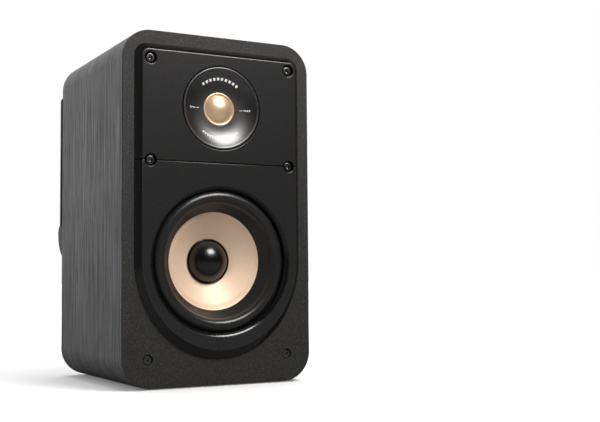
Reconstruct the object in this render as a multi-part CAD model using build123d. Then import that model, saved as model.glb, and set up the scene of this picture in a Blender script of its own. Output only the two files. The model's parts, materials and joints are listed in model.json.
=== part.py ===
from build123d import *
import os
from math import cos, pi, radians, sin

# Two-way bass-reflex bookshelf speaker. Millimetres, X to the right seen from the front, Y to the
# back, Z up. Everything is drawn with y = 0 on the baffle's front face and z = 0 on the shelf.
# The export moves it so that the origin lies under the middle of the whole speaker.

os.makedirs("parts", exist_ok=True)

# ---- driving dimensions --------------------------------------------------------------------------

CABINET_WIDTH = 172.0
TOTAL_HEIGHT = 295.4
CABINET_DEPTH = 172.0
CORNER_RADIUS = 25.0
FOOT_HEIGHT = 0.9
WRAP = 0.5
FACING = 0.8
WALL = 12.0
BAFFLE = 18.0
REAR_PANEL = 12.0

PLATE_RAISE = 6.0
PLATE_HALF_WIDTH = 76.0
PLATE_TOP = 284.3
PLATE_BOTTOM = 21.8
PLATE_ARC_Z = 106.0
PLATE_CORNER = 11.0
BEVEL_SIDE = 5.2
BEVEL_TOP = 5.9
BEVEL_BOTTOM = 8.4
SPLIT_Z = 186.8
SPLIT_GAP = 0.7
MOUTH_CHAMFER = 0.5

SCREW_X = 63.5
PLATE_SCREW_Z = (271.2, SPLIT_Z)
BAFFLE_SCREW_Z = 24.3
SCREW_HEAD_RADIUS = 3.5
SCREW_HEAD_HEIGHT = 3.4
SCREW_SHANK_RADIUS = 2.0
HEX_SOCKET_RADIUS = 1.9
HEX_SOCKET_DEPTH = 2.2
PLATE_SCREW_HOLE = 5.1
BAFFLE_SCREW_HOLE = 4.3
PLATE_SCREW_SEAT_Y = -1.0
BAFFLE_SCREW_SEAT_Y = 4.6
SCREW_LENGTH = 13.0

TWEETER_Z = 233.5
WAVEGUIDE_RADIUS = 35.2
WAVEGUIDE_FLANGE = 39.0
WAVEGUIDE_GAP = 0.5
THROAT_RADIUS = 14.6
DOME_RADIUS = 12.3
DOME_HEIGHT = 4.8

WOOFER_Z = 104.6
FLARE_RIM_RADIUS = 60.0
FLARE_ROUND = 5.3
BASKET_RADIUS = 68.0
WOOFER_HOLE = 58.5
ROLL_OUTER = 59.3
ROLL_INNER = 48.7
ROLL_HEIGHT = 5.4
SURROUND_Y = 1.8
RUBBER = 0.8
LIP_END_SHEET = 0.3
CONE_EDGE_RADIUS = 41.6
CONE_EDGE_Y = 10.8
CAP_RADIUS = 19.3
CAP_EDGE_Y = 24.8
CAP_HEIGHT = 9.0
FORMER_RADIUS = 12.75
CONE_THICKNESS = 0.7

PORT_Z = 205.0
PORT_RADIUS = 22.0
PORT_WALL = 2.5
PORT_INNER_END_Y = 100.0
PORT_FLANGE_RADIUS = 38.0
DIFFUSER_GAP = 14.0
DIFFUSER_THICKNESS = 3.0
DIFFUSER_HALF_WIDTH = 83.2
DIFFUSER_TOP = 267.0
NOSE_TOP = 141.0
NOSE_BOTTOM = 110.0
NOSE_REACH = 22.6

CUP_Z = 62.0
CUP_HALF_WIDTH = 34.0
CUP_HALF_HEIGHT = 24.0
CUP_DEPTH = 12.0
CUP_WALL = 2.0
POST_SPACING = 19.0
STUD_RADIUS = 3.95
NUT_BORE = 4.0
SOCKET_RADIUS = 2.05
SOCKET_LENGTH = 12.0
NUT_RADIUS = 7.5
NUT_LENGTH = 16.0

KEYHOLE_Z = 267.0
INSERT_Z = 102.0
INSERT_BORE = 2.6

# ---- sizes that follow ---------------------------------------------------------------------------

CABINET_HEIGHT = TOTAL_HEIGHT - FOOT_HEIGHT
CABINET_MID_Z = FOOT_HEIGHT + CABINET_HEIGHT / 2
SHELL_X = CABINET_WIDTH / 2 - WRAP
INNER_X = SHELL_X - WALL
SHELL_TOP = TOTAL_HEIGHT - WRAP
SHELL_BOTTOM = FOOT_HEIGHT + WRAP
INNER_TOP = SHELL_TOP - WALL
INNER_BOTTOM = SHELL_BOTTOM + WALL
CORNER = CORNER_RADIUS - WRAP
PANEL_EDGE_X = SHELL_X - CORNER
REAR_Y = CABINET_DEPTH
REAR_INNER_Y = REAR_Y - REAR_PANEL
FACE_Y = -PLATE_RAISE
CENTRE_Y = (FACE_Y + REAR_Y + NOSE_REACH) / 2
REBATE_DEPTH = 5.0
TWEETER_REBATE_DEPTH = 4.0
TWEETER_HOLE = 31.0

nodes = {}


# ---- helpers -------------------------------------------------------------------------------------

def block(x, y, z):
    """A box between pairs of limits."""
    centre = Pos((x[0] + x[1]) / 2, (y[0] + y[1]) / 2, (z[0] + z[1]) / 2)
    return centre * Box(x[1] - x[0], y[1] - y[0], z[1] - z[0])


def upright(y):
    """The upright plane at depth y, facing forwards. A sketch's x is the speaker's X and its y is Z."""
    return Plane.XZ.offset(-y)


def slab(sketch, y0, y1):
    """A sketch in X and Z made solid from depth y0 to depth y1."""
    return extrude(upright(y1) * sketch, amount=y1 - y0)


def rod(radius, y0, y1, x=0.0, z=0.0):
    return slab(Pos(x, z) * Circle(radius), y0, y1)


def ring(outer, inner, y0, y1, x=0.0, z=0.0):
    return slab(Pos(x, z) * (Circle(outer) - Circle(inner)), y0, y1)


def upright_rod(radius, z0, z1, x, y):
    return Pos(x, y, (z0 + z1) / 2) * Cylinder(radius, z1 - z0)


def turned(edges, z, x=0.0):
    """A closed outline drawn as (radius, y), turned about an axis along Y at x, z."""
    return Pos(x, 0, z) * revolve(make_face(edges), Axis.Y)


def turned_points(points, z, x=0.0):
    return turned(Polyline(*points, close=True).edges(), z, x)


def on_circle(radius, count, first_degrees=0.0):
    """Evenly spaced (x, z) points round a circle."""
    angles = [radians(first_degrees) + 2 * pi * i / count for i in range(count)]
    return [(radius * cos(a), radius * sin(a)) for a in angles]


def joined(shapes):
    """Separate solids that share one node."""
    return Compound(children=[solid for shape in shapes for solid in shape.solids()])


def routed(radius, points, bend):
    """A round wire along straight runs joined by arcs."""
    path = FilletPolyline(*points, radius=bend)
    return sweep(Plane(path @ 0, z_dir=path % 0) * Circle(radius), path=path)


# ---- cabinet -------------------------------------------------------------------------------------

def outline(inset=0.0):
    """The cabinet's front outline, drawn in by inset."""
    width = CABINET_WIDTH - 2 * inset
    height = CABINET_HEIGHT - 2 * inset
    return Pos(0, CABINET_MID_Z) * RectangleRounded(width, height, CORNER_RADIUS - inset)


def corner_moulding(side, z_outer, z_inner):
    """One quarter-round edge of the cabinet, running front to back."""
    square_x = side * (SHELL_X - CORNER / 2)
    square_z = (z_outer + z_inner) / 2
    inner = CORNER - WALL
    inner_x = side * (PANEL_EDGE_X + inner / 2)
    inner_z = z_inner + (inner / 2 if z_outer > z_inner else -inner / 2)
    sketch = outline(WRAP) & Pos(square_x, square_z) * Rectangle(CORNER, CORNER)
    return slab(sketch - Pos(inner_x, inner_z) * Rectangle(inner, inner), BAFFLE, REAR_Y)


def front_screw_places():
    return [(side * SCREW_X, z) for z in PLATE_SCREW_Z for side in (-1, 1)]


def baffle_screw_places():
    return [(side * SCREW_X, BAFFLE_SCREW_Z) for side in (-1, 1)]


PANEL_LOW_Z = SHELL_BOTTOM + CORNER
PANEL_HIGH_Z = SHELL_TOP - CORNER
WALL_Y = (BAFFLE, REAR_Y)
nodes["side_panel_left"] = block((-SHELL_X, -INNER_X), WALL_Y, (PANEL_LOW_Z, PANEL_HIGH_Z))
nodes["side_panel_right"] = block((INNER_X, SHELL_X), WALL_Y, (PANEL_LOW_Z, PANEL_HIGH_Z))
nodes["top_panel"] = block((-PANEL_EDGE_X, PANEL_EDGE_X), WALL_Y, (INNER_TOP, SHELL_TOP))
nodes["bottom_panel"] = block((-PANEL_EDGE_X, PANEL_EDGE_X), WALL_Y, (SHELL_BOTTOM, INNER_BOTTOM))
nodes["corner_mouldings"] = joined(
    [corner_moulding(side, SHELL_TOP, PANEL_HIGH_Z) for side in (-1, 1)]
    + [corner_moulding(side, SHELL_BOTTOM, PANEL_LOW_Z) for side in (-1, 1)]
)
nodes["vinyl_wrap"] = slab(outline() - outline(WRAP), FACING, REAR_Y)

SCREW_CLEARANCE = 0.1
BASKET_CLEARANCE = 0.6
WAVEGUIDE_CLEARANCE = 0.4
BASKET_SCREW_CIRCLE = 65.2
BASKET_SCREW_SHANK = 1.7


def front_baffle():
    board = slab(outline(WRAP), FACING, BAFFLE)
    board -= rod(BASKET_RADIUS + BASKET_CLEARANCE, 0, REBATE_DEPTH, z=WOOFER_Z)
    board -= rod(WOOFER_HOLE, 0, BAFFLE, z=WOOFER_Z)
    board -= rod(WAVEGUIDE_FLANGE + WAVEGUIDE_CLEARANCE, 0, TWEETER_REBATE_DEPTH, z=TWEETER_Z)
    board -= rod(TWEETER_HOLE, 0, BAFFLE, z=TWEETER_Z)
    for x, z in front_screw_places():
        board -= rod(SCREW_SHANK_RADIUS + SCREW_CLEARANCE, 0, BAFFLE, x, z)
    for x, z in baffle_screw_places():
        board -= rod(BAFFLE_SCREW_HOLE, 0, BAFFLE_SCREW_SEAT_Y, x, z)
        board -= rod(SCREW_SHANK_RADIUS + SCREW_CLEARANCE, 0, BAFFLE, x, z)
    for x, z in on_circle(BASKET_SCREW_CIRCLE, 4, 45):
        board -= rod(BASKET_SCREW_SHANK + SCREW_CLEARANCE, 0, BAFFLE - 2, x, WOOFER_Z + z)
    return board


def baffle_facing():
    """The leather-grained sheet on the front of the baffle."""
    sheet = slab(outline(), 0, FACING)
    sheet -= rod(BASKET_RADIUS + BASKET_CLEARANCE, 0, FACING, z=WOOFER_Z)
    sheet -= rod(WAVEGUIDE_FLANGE + WAVEGUIDE_CLEARANCE, 0, FACING, z=TWEETER_Z)
    for x, z in front_screw_places():
        sheet -= rod(SCREW_SHANK_RADIUS + SCREW_CLEARANCE, 0, FACING, x, z)
    for x, z in baffle_screw_places():
        sheet -= rod(BAFFLE_SCREW_HOLE, 0, FACING, x, z)
    return sheet


nodes["front_baffle"] = front_baffle()
nodes["baffle_facing"] = baffle_facing()

BRACE_Z = (158.0, 168.0)
BRACE_WINDOW_X = 52.0
BRACE_WINDOW_Y = (38.0, 140.0)
brace_board = block((-INNER_X, INNER_X), (BAFFLE, REAR_INNER_Y), BRACE_Z)
nodes["shelf_brace"] = brace_board - block((-BRACE_WINDOW_X, BRACE_WINDOW_X), BRACE_WINDOW_Y, BRACE_Z)

FOOT_RADIUS = 8.0
FOOT_X = 50.0
FOOT_Y = (20.0, 152.0)
nodes["rubber_feet"] = joined(
    [upright_rod(FOOT_RADIUS, 0, FOOT_HEIGHT, side * FOOT_X, y) for side in (-1, 1) for y in FOOT_Y]
)

WADDING = 12.0
WADDING_Y = (24.0, 94.0)
WADDING_Z = (172.0, 268.0)
WADDING_GAP = 0.5
wadding_x = (INNER_X - WADDING_GAP - WADDING, INNER_X - WADDING_GAP)
wadding_top_z = (INNER_TOP - WADDING_GAP - WADDING, INNER_TOP - WADDING_GAP)
nodes["damping_wadding"] = joined([
    block(wadding_x, WADDING_Y, WADDING_Z),
    block((-wadding_x[1], -wadding_x[0]), WADDING_Y, WADDING_Z),
    block((-wadding_x[1], wadding_x[1]), (BAFFLE + 4, REAR_INNER_Y - 4), wadding_top_z),
])


# ---- raised front plates -------------------------------------------------------------------------

def plate_outline(half_width, top, bottom, corner):
    """A straight-sided arch turned upside down, with two small round corners at the top."""
    depth = PLATE_ARC_Z - bottom
    corner_x = half_width - corner
    corner_z = top - corner
    return make_face([
        Line((-half_width, PLATE_ARC_Z), (-half_width, corner_z)),
        CenterArc((-corner_x, corner_z), corner, 180, -90),
        Line((-corner_x, top), (corner_x, top)),
        CenterArc((corner_x, corner_z), corner, 90, -90),
        Line((half_width, corner_z), (half_width, PLATE_ARC_Z)),
        EllipticalCenterArc((0, PLATE_ARC_Z), half_width, depth, start_angle=180, arc_size=180),
    ])


def raised_panel():
    """Both front plates as one bevelled block, before they are parted."""
    foot = plate_outline(PLATE_HALF_WIDTH, PLATE_TOP, PLATE_BOTTOM, PLATE_CORNER)
    face = plate_outline(
        PLATE_HALF_WIDTH - BEVEL_SIDE,
        PLATE_TOP - BEVEL_TOP,
        PLATE_BOTTOM + BEVEL_BOTTOM,
        PLATE_CORNER - BEVEL_SIDE,
    )
    return loft([upright(0) * foot, upright(FACE_Y) * face], ruled=True)


def plate_screw_hole(x, z):
    """A counterbore with a chamfered mouth and a shank hole."""
    rim = PLATE_SCREW_HOLE + MOUTH_CHAMFER
    bore = [(0, FACE_Y - 1), (rim, FACE_Y - 1), (rim, FACE_Y), (PLATE_SCREW_HOLE, FACE_Y + MOUTH_CHAMFER)]
    bore += [(PLATE_SCREW_HOLE, PLATE_SCREW_SEAT_Y), (0, PLATE_SCREW_SEAT_Y)]
    return turned_points(bore, z, x) + rod(SCREW_SHANK_RADIUS + SCREW_CLEARANCE, FACE_Y, 1, x, z)


def woofer_opening():
    """The cutter for the round-lipped hole in front of the woofer."""
    lip_radius = FLARE_RIM_RADIUS + FLARE_ROUND
    lip_y = FACE_Y + FLARE_ROUND
    front = FACE_Y - 1
    middle = FLARE_ROUND * cos(pi / 4)
    return turned(
        [
            Line((0, front), (lip_radius, front)),
            Line((lip_radius, front), (lip_radius, FACE_Y)),
            ThreePointArc(
                (lip_radius, FACE_Y),
                (lip_radius - middle, lip_y - middle),
                (FLARE_RIM_RADIUS, lip_y),
            ),
            Line((FLARE_RIM_RADIUS, lip_y), (FLARE_RIM_RADIUS, 1)),
            Line((FLARE_RIM_RADIUS, 1), (0, 1)),
            Line((0, 1), (0, front)),
        ],
        WOOFER_Z,
    )


def tweeter_opening():
    """The cutter for the waveguide's hole, with a small chamfer at its mouth."""
    hole = WAVEGUIDE_RADIUS + WAVEGUIDE_GAP
    rim = hole + MOUTH_CHAMFER
    mouth = [(0, FACE_Y - 1), (rim, FACE_Y - 1), (rim, FACE_Y), (hole, FACE_Y + MOUTH_CHAMFER)]
    return turned_points(mouth + [(hole, 1), (0, 1)], TWEETER_Z)


panel = raised_panel()
for screw_x, screw_z in front_screw_places():
    panel -= plate_screw_hole(screw_x, screw_z)
WIDE = 2 * CABINET_WIDTH
above_split = block((-WIDE, WIDE), (-WIDE, WIDE), (SPLIT_Z + SPLIT_GAP / 2, TOTAL_HEIGHT))
below_split = block((-WIDE, WIDE), (-WIDE, WIDE), (0, SPLIT_Z - SPLIT_GAP / 2))
nodes["upper_front_plate"] = (panel & above_split) - tweeter_opening()
nodes["lower_front_plate"] = (panel & below_split) - woofer_opening()


def socket_screw(x, z, seat_y):
    """A socket-head screw whose head rests on seat_y."""
    front = seat_y - SCREW_HEAD_HEIGHT
    head = rod(SCREW_HEAD_RADIUS, front, seat_y, x, z)
    shank = rod(SCREW_SHANK_RADIUS, seat_y, seat_y + SCREW_LENGTH, x, z)
    socket = slab(Pos(x, z) * RegularPolygon(HEX_SOCKET_RADIUS, 6), front, front + HEX_SOCKET_DEPTH)
    return head + shank - socket


nodes["front_screws"] = joined(
    [socket_screw(x, z, PLATE_SCREW_SEAT_Y) for x, z in front_screw_places()]
    + [socket_screw(x, z, BAFFLE_SCREW_SEAT_Y) for x, z in baffle_screw_places()]
)


# ---- tweeter -------------------------------------------------------------------------------------

WAVEGUIDE_BACK_Y = 1.0
WAVEGUIDE_FLANGE_Y = 3.2
WAVEGUIDE_POCKET = 29.5
TWEETER_PLATE_Y = (1.4, 5.4)
TWEETER_MAGNET_Y = (5.4, 13.4)
TWEETER_YOKE_Y = (13.4, 17.4)
TWEETER_CUP_Y = (17.4, 34.0)
TWEETER_MAGNET_RADIUS = 27.0
TWEETER_POLE_RADIUS = 11.65
TWEETER_FORMER = (12.3, 12.05)
TWEETER_COIL_RADIUS = 12.7
TWEETER_GAP_RADIUS = 13.1
DOME_SHEET = 0.35
DOME_EDGE_Y = 0.9
DOME_ROLL_SHEET = 0.25
DOME_ROLL_HEIGHT = 0.9
DOME_ROLL_GAP = 0.1
CLAMP_RADIUS = 28.0
WAVEGUIDE_ROUND = 0.9
THROAT_Y = -0.2
TWEETER_GASKET_MARGIN = 0.5
DISH_MIDDLE = (26.5, -2.55)
TWEETER_FORMER_END_Y = 6.0
TWEETER_COIL_Y = (1.9, 5.2)
TWEETER_TOP_PLATE_RADIUS = 28.8
TWEETER_MAGNET_BORE = 15.0
TWEETER_POLE_Y = 1.6
TWEETER_VENT_RADIUS = 4.0
TWEETER_CUP_RADIUS = (24.0, 22.0)
TWEETER_CUP_FLOOR = 2.0


def tweeter_waveguide():
    """A dished insert, round at its rim, with a flange that the front plate clamps."""
    dish_start = (WAVEGUIDE_RADIUS - 2 * WAVEGUIDE_ROUND, FACE_Y)
    throat = (THROAT_RADIUS, THROAT_Y)
    cut = WAVEGUIDE_ROUND * (1 - cos(pi / 4))
    rim_end = (WAVEGUIDE_RADIUS, FACE_Y + WAVEGUIDE_ROUND)
    rim_start = (WAVEGUIDE_RADIUS - WAVEGUIDE_ROUND, FACE_Y)
    rim_middle = (WAVEGUIDE_RADIUS - cut, FACE_Y + cut)
    back = Polyline(
        rim_end,
        (WAVEGUIDE_RADIUS, 0),
        (WAVEGUIDE_FLANGE, 0),
        (WAVEGUIDE_FLANGE, WAVEGUIDE_FLANGE_Y),
        (WAVEGUIDE_POCKET, WAVEGUIDE_FLANGE_Y),
        (WAVEGUIDE_POCKET, WAVEGUIDE_BACK_Y),
        (THROAT_RADIUS, WAVEGUIDE_BACK_Y),
        throat,
    )
    front = [
        ThreePointArc(throat, DISH_MIDDLE, dish_start),
        Line(dish_start, rim_start),
        ThreePointArc(rim_start, rim_middle, rim_end),
    ]
    return turned(front + back.edges(), TWEETER_Z)


def half_roll(inner, outer, y, height, sheet):
    """The front and back arcs of a half-round roll that bulges forwards from depth y."""
    middle = (inner + outer) / 2
    front = ThreePointArc((inner, y), (middle, y - height), (outer, y))
    back = ThreePointArc((inner + sheet, y), (middle, y - height + sheet), (outer - sheet, y))
    return front, back


def tweeter_surround():
    """The small half-roll round the dome, with the ring that the waveguide clamps."""
    sheet = DOME_ROLL_SHEET
    inner = DOME_RADIUS + DOME_ROLL_GAP
    outer = THROAT_RADIUS - DOME_ROLL_GAP
    y = DOME_EDGE_Y
    front, back = half_roll(inner, outer, y, DOME_ROLL_HEIGHT, sheet)
    clamp = Polyline(
        (outer, y),
        (outer, WAVEGUIDE_BACK_Y),
        (CLAMP_RADIUS, WAVEGUIDE_BACK_Y),
        (CLAMP_RADIUS, TWEETER_PLATE_Y[0]),
        (outer - sheet, TWEETER_PLATE_Y[0]),
        (outer - sheet, y),
    )
    return turned([front, back, Line((inner, y), (inner + sheet, y))] + clamp.edges(), TWEETER_Z)


def dome(radius, height, edge_y, sheet):
    """A spherical cap of sheet that bulges forwards from edge_y, about the axis r = 0."""
    ball = (radius ** 2 + height ** 2) / (2 * height)
    centre_y = edge_y - height + ball
    inner_ball = ball - sheet
    inner_radius = (inner_ball ** 2 - (ball - height) ** 2) ** 0.5
    rise = radius / ball / 2
    lean = (1 - rise ** 2) ** 0.5
    outer_middle = (ball * rise, centre_y - ball * lean)
    outer_arc = ThreePointArc((0, centre_y - ball), outer_middle, (radius, edge_y))
    rise_in = inner_radius / inner_ball / 2
    lean_in = (1 - rise_in ** 2) ** 0.5
    inner_middle = (inner_ball * rise_in, centre_y - inner_ball * lean_in)
    inner_arc = ThreePointArc((0, centre_y - inner_ball), inner_middle, (inner_radius, edge_y))
    foot = Line((radius, edge_y), (inner_radius, edge_y))
    axis_edge = Line((0, centre_y - ball), (0, centre_y - inner_ball))
    return [outer_arc, foot, inner_arc, axis_edge]


nodes["tweeter_waveguide"] = tweeter_waveguide()
nodes["tweeter_gasket"] = ring(
    WAVEGUIDE_FLANGE,
    TWEETER_HOLE + TWEETER_GASKET_MARGIN,
    WAVEGUIDE_FLANGE_Y,
    TWEETER_REBATE_DEPTH,
    z=TWEETER_Z,
)
nodes["tweeter_surround"] = tweeter_surround()
nodes["tweeter_dome"] = turned(dome(DOME_RADIUS, DOME_HEIGHT, DOME_EDGE_Y, DOME_SHEET), TWEETER_Z)
tweeter_former = ring(*TWEETER_FORMER, DOME_EDGE_Y, TWEETER_FORMER_END_Y, z=TWEETER_Z)
tweeter_winding = ring(TWEETER_COIL_RADIUS, TWEETER_FORMER[0], *TWEETER_COIL_Y, z=TWEETER_Z)
nodes["tweeter_voice_coil"] = tweeter_former + tweeter_winding
nodes["tweeter_top_plate"] = ring(
    TWEETER_TOP_PLATE_RADIUS, TWEETER_GAP_RADIUS, *TWEETER_PLATE_Y, z=TWEETER_Z
)
nodes["tweeter_magnet"] = ring(TWEETER_MAGNET_RADIUS, TWEETER_MAGNET_BORE, *TWEETER_MAGNET_Y, z=TWEETER_Z)
nodes["tweeter_yoke"] = (
    rod(TWEETER_MAGNET_RADIUS, *TWEETER_YOKE_Y, z=TWEETER_Z)
    + rod(TWEETER_POLE_RADIUS, TWEETER_POLE_Y, TWEETER_YOKE_Y[1], z=TWEETER_Z)
    - rod(TWEETER_VENT_RADIUS, 0, TWEETER_YOKE_Y[1], z=TWEETER_Z)
)
nodes["tweeter_rear_cup"] = (
    rod(TWEETER_CUP_RADIUS[0], *TWEETER_CUP_Y, z=TWEETER_Z)
    - rod(TWEETER_CUP_RADIUS[1], TWEETER_CUP_Y[0], TWEETER_CUP_Y[1] - TWEETER_CUP_FLOOR, z=TWEETER_Z)
)

STRIP_HALF_WIDTH = 9.0
STRIP_HALF_HEIGHT = 5.0
STRIP_THICKNESS = 1.6
TAB_SPACING = 5.0
TAB_HALF_WIDTH = 2.4
TAB_HALF_THICKNESS = 0.4
TAB_END = 8.0


def terminal_strip(x, y, z):
    """A small insulating strip with two solder tabs, standing off the surface at depth y."""
    front = y + STRIP_THICKNESS
    strip = block(
        (x - STRIP_HALF_WIDTH, x + STRIP_HALF_WIDTH),
        (y, front),
        (z - STRIP_HALF_HEIGHT, z + STRIP_HALF_HEIGHT),
    )
    for side in (-1, 1):
        tab_x = x + side * TAB_SPACING
        strip += block(
            (tab_x - TAB_HALF_WIDTH, tab_x + TAB_HALF_WIDTH),
            (front, y + TAB_END),
            (z - TAB_HALF_THICKNESS, z + TAB_HALF_THICKNESS),
        )
    return strip


nodes["tweeter_terminals"] = terminal_strip(0, TWEETER_CUP_Y[1], TWEETER_Z)


# ---- woofer --------------------------------------------------------------------------------------

BASKET_FLANGE_Y = (2.6, REBATE_DEPTH)
BASKET_SHEET = 1.3
SPIDER_SEAT_Y = 34.0
SPIDER_SEAT_RADIUS = (36.0, 29.5)
BASKET_BASE_Y = 46.0
BASKET_BASE_SHEET = 2.0
TOP_PLATE_Y = (48.0, 54.0)
MAGNET_Y = (54.0, 70.0)
YOKE_Y = (70.0, 76.0)
TOP_PLATE_RADIUS = 40.0
MAGNET_RADIUS = 42.0
COIL_GAP = 0.4
COIL_RADIUS = 13.25
FORMER_SHEET = 0.2
POLE_RADIUS = FORMER_RADIUS - FORMER_SHEET - COIL_GAP
NECK_Y = 30.0
FORMER_END_Y = 59.0
BASKET_WINDOWS = 6
BASKET_MOUTH = (56.4, 57.8)
BASKET_CENTRE_HOLE = 16.0
WINDOW_SIZE = (28.0, 20.0, 34.0)
WINDOW_PLACE = (20.0, 46.0)
SURROUND_FLANGE_RADIUS = 62.5
LIP_END_STEP = 0.15
LIP_GAP = 0.15
CONE_BAND = (ROLL_INNER - 0.4, SURROUND_Y + RUBBER + 1.5)
CONE_MIDDLE = (30.5, 18.9)
CAP_SHEET = 0.8
CAP_INSET = 0.1
FORMER_LEAD = 2.0
VOICE_COIL_Y = (44.0, 58.0)
MAGNET_BORE = 18.0
POLE_VENT_RADIUS = 5.0
WOOFER_GASKET_INNER = 63.2
GASKET_SCREW_HOLE = 2.5
BASKET_SCREW_HEAD = 2.4
BASKET_SCREW_LENGTH = 12.0
SPIDER_SHEET = 0.5
SPIDER_CREST = 0.9
SPIDER_WAVES = 7
SPIDER_COLLAR = 3.0
SPIDER_EDGE_GAP = 0.6
HEAD_HEIGHT = 1.8
SLOT_HALF_WIDTH = 0.4
SLOT_DEPTH = 0.8


def woofer_basket():
    """A pressed steel frame: flange, conical wall with windows, spider shelf and base."""
    shell = turned_points(
        [
            (BASKET_RADIUS, BASKET_FLANGE_Y[0]),
            (BASKET_RADIUS, BASKET_FLANGE_Y[1]),
            (BASKET_MOUTH[1], BASKET_FLANGE_Y[1]),
            (SPIDER_SEAT_RADIUS[0], SPIDER_SEAT_Y + BASKET_SHEET),
            (SPIDER_SEAT_RADIUS[1] + BASKET_SHEET, SPIDER_SEAT_Y + BASKET_SHEET),
            (SPIDER_SEAT_RADIUS[1] + BASKET_SHEET, BASKET_BASE_Y + BASKET_BASE_SHEET),
            (BASKET_CENTRE_HOLE, BASKET_BASE_Y + BASKET_BASE_SHEET),
            (BASKET_CENTRE_HOLE, BASKET_BASE_Y),
            (SPIDER_SEAT_RADIUS[1], BASKET_BASE_Y),
            (SPIDER_SEAT_RADIUS[1], SPIDER_SEAT_Y),
            (SPIDER_SEAT_RADIUS[0] - BASKET_SHEET, SPIDER_SEAT_Y),
            (BASKET_MOUTH[0], BASKET_FLANGE_Y[0]),
        ],
        WOOFER_Z,
    )
    window = Pos(0, *WINDOW_PLACE) * Box(*WINDOW_SIZE)
    for i in range(BASKET_WINDOWS):
        shell -= Pos(0, 0, WOOFER_Z) * (Rot(0, 360 / BASKET_WINDOWS * i, 0) * window)
    for x, z in on_circle(BASKET_SCREW_CIRCLE, 4, 45):
        shell -= rod(BASKET_SCREW_SHANK + SCREW_CLEARANCE, 0, BAFFLE, x, WOOFER_Z + z)
    return shell


def woofer_surround():
    """Rubber edge: flange, half-roll and the lip that runs down to the cone."""
    lip_end = (CONE_EDGE_RADIUS, CONE_EDGE_Y)
    y = SURROUND_Y
    back_y = BASKET_FLANGE_Y[0]
    front, back = half_roll(ROLL_INNER, ROLL_OUTER, y, ROLL_HEIGHT, RUBBER)
    flange = Polyline(
        (ROLL_OUTER, y),
        (SURROUND_FLANGE_RADIUS, y),
        (SURROUND_FLANGE_RADIUS, back_y),
        (ROLL_OUTER - RUBBER, back_y),
        (ROLL_OUTER - RUBBER, y),
    )
    lip = Polyline(
        (ROLL_INNER, y),
        lip_end,
        (CONE_EDGE_RADIUS + LIP_END_STEP, CONE_EDGE_Y + LIP_END_SHEET),
        (ROLL_INNER + RUBBER, y + RUBBER),
        (ROLL_INNER + RUBBER, y),
    )
    return turned([front, back] + flange.edges() + lip.edges(), WOOFER_Z)


def woofer_cone():
    """The cone: an outer band under the rubber lip, a gently flared middle and a neck on the former."""
    sheet = CONE_THICKNESS
    edge = (CONE_EDGE_RADIUS - LIP_GAP, CONE_EDGE_Y + 2 * LIP_END_SHEET + LIP_GAP)
    cap_edge = (CAP_RADIUS, CAP_EDGE_Y + LIP_GAP)
    neck = (FORMER_RADIUS, NECK_Y)
    front = [
        Line(CONE_BAND, edge),
        ThreePointArc(edge, CONE_MIDDLE, cap_edge),
        Line(cap_edge, neck),
    ]
    back_band, back_edge, back_middle, back_cap, back_neck = [
        (radius, y + sheet) for radius, y in (CONE_BAND, edge, CONE_MIDDLE, cap_edge, neck)
    ]
    back = [
        Line(neck, back_neck),
        Line(back_neck, back_cap),
        ThreePointArc(back_cap, back_middle, back_edge),
        Line(back_edge, back_band),
        Line(back_band, CONE_BAND),
    ]
    return turned(front + back, WOOFER_Z)


def spider():
    """The corrugated centring disc between the former and the basket's shelf."""
    inner = FORMER_RADIUS + COIL_GAP / 4
    y = SPIDER_SEAT_Y - SPIDER_SHEET
    first = inner + SPIDER_COLLAR
    pitch = (SPIDER_SEAT_RADIUS[1] - first) / (SPIDER_WAVES - 1)
    front = [(inner, y)]
    for i in range(SPIDER_WAVES):
        front.append((first + i * pitch, y + (SPIDER_CREST if i % 2 else -SPIDER_CREST)))
    front.append((SPIDER_SEAT_RADIUS[1] + 1, y))
    front.append((SPIDER_SEAT_RADIUS[0] - BASKET_SHEET - SPIDER_EDGE_GAP, y))
    back = [(radius, depth + SPIDER_SHEET) for radius, depth in reversed(front)]
    return turned_points(front + back, WOOFER_Z)


def slotted_screw(x, z, seat_y, length, head_radius, shank_radius, side):
    """A pan-head screw on seat_y. Its head stands out to the back (side 1) or the front (side -1)."""
    head = sorted((seat_y, seat_y + side * HEAD_HEIGHT))
    shank = sorted((seat_y, seat_y - side * length))
    slot = sorted((seat_y + side * HEAD_HEIGHT, seat_y + side * (HEAD_HEIGHT - SLOT_DEPTH)))
    screw = rod(head_radius, *head, x, z) + rod(shank_radius, *shank, x, z)
    slot_x = (x - SLOT_HALF_WIDTH, x + SLOT_HALF_WIDTH)
    return screw - block(slot_x, slot, (z - head_radius, z + head_radius))


nodes["woofer_basket"] = woofer_basket()
woofer_gasket = ring(BASKET_RADIUS, WOOFER_GASKET_INNER, 0, BASKET_FLANGE_Y[0], z=WOOFER_Z)
for gasket_x, gasket_z in on_circle(BASKET_SCREW_CIRCLE, 4, 45):
    woofer_gasket -= rod(GASKET_SCREW_HOLE, 0, BASKET_FLANGE_Y[0], gasket_x, WOOFER_Z + gasket_z)
nodes["woofer_gasket"] = woofer_gasket
nodes["woofer_screws"] = joined([
    slotted_screw(
        x, WOOFER_Z + z, BASKET_FLANGE_Y[0], BASKET_SCREW_LENGTH, BASKET_SCREW_HEAD, BASKET_SCREW_SHANK, -1
    )
    for x, z in on_circle(BASKET_SCREW_CIRCLE, 4, 45)
])
nodes["woofer_surround"] = woofer_surround()
nodes["woofer_cone"] = woofer_cone()
nodes["woofer_dust_cap"] = turned(dome(CAP_RADIUS - CAP_INSET, CAP_HEIGHT, CAP_EDGE_Y, CAP_SHEET), WOOFER_Z)
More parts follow.
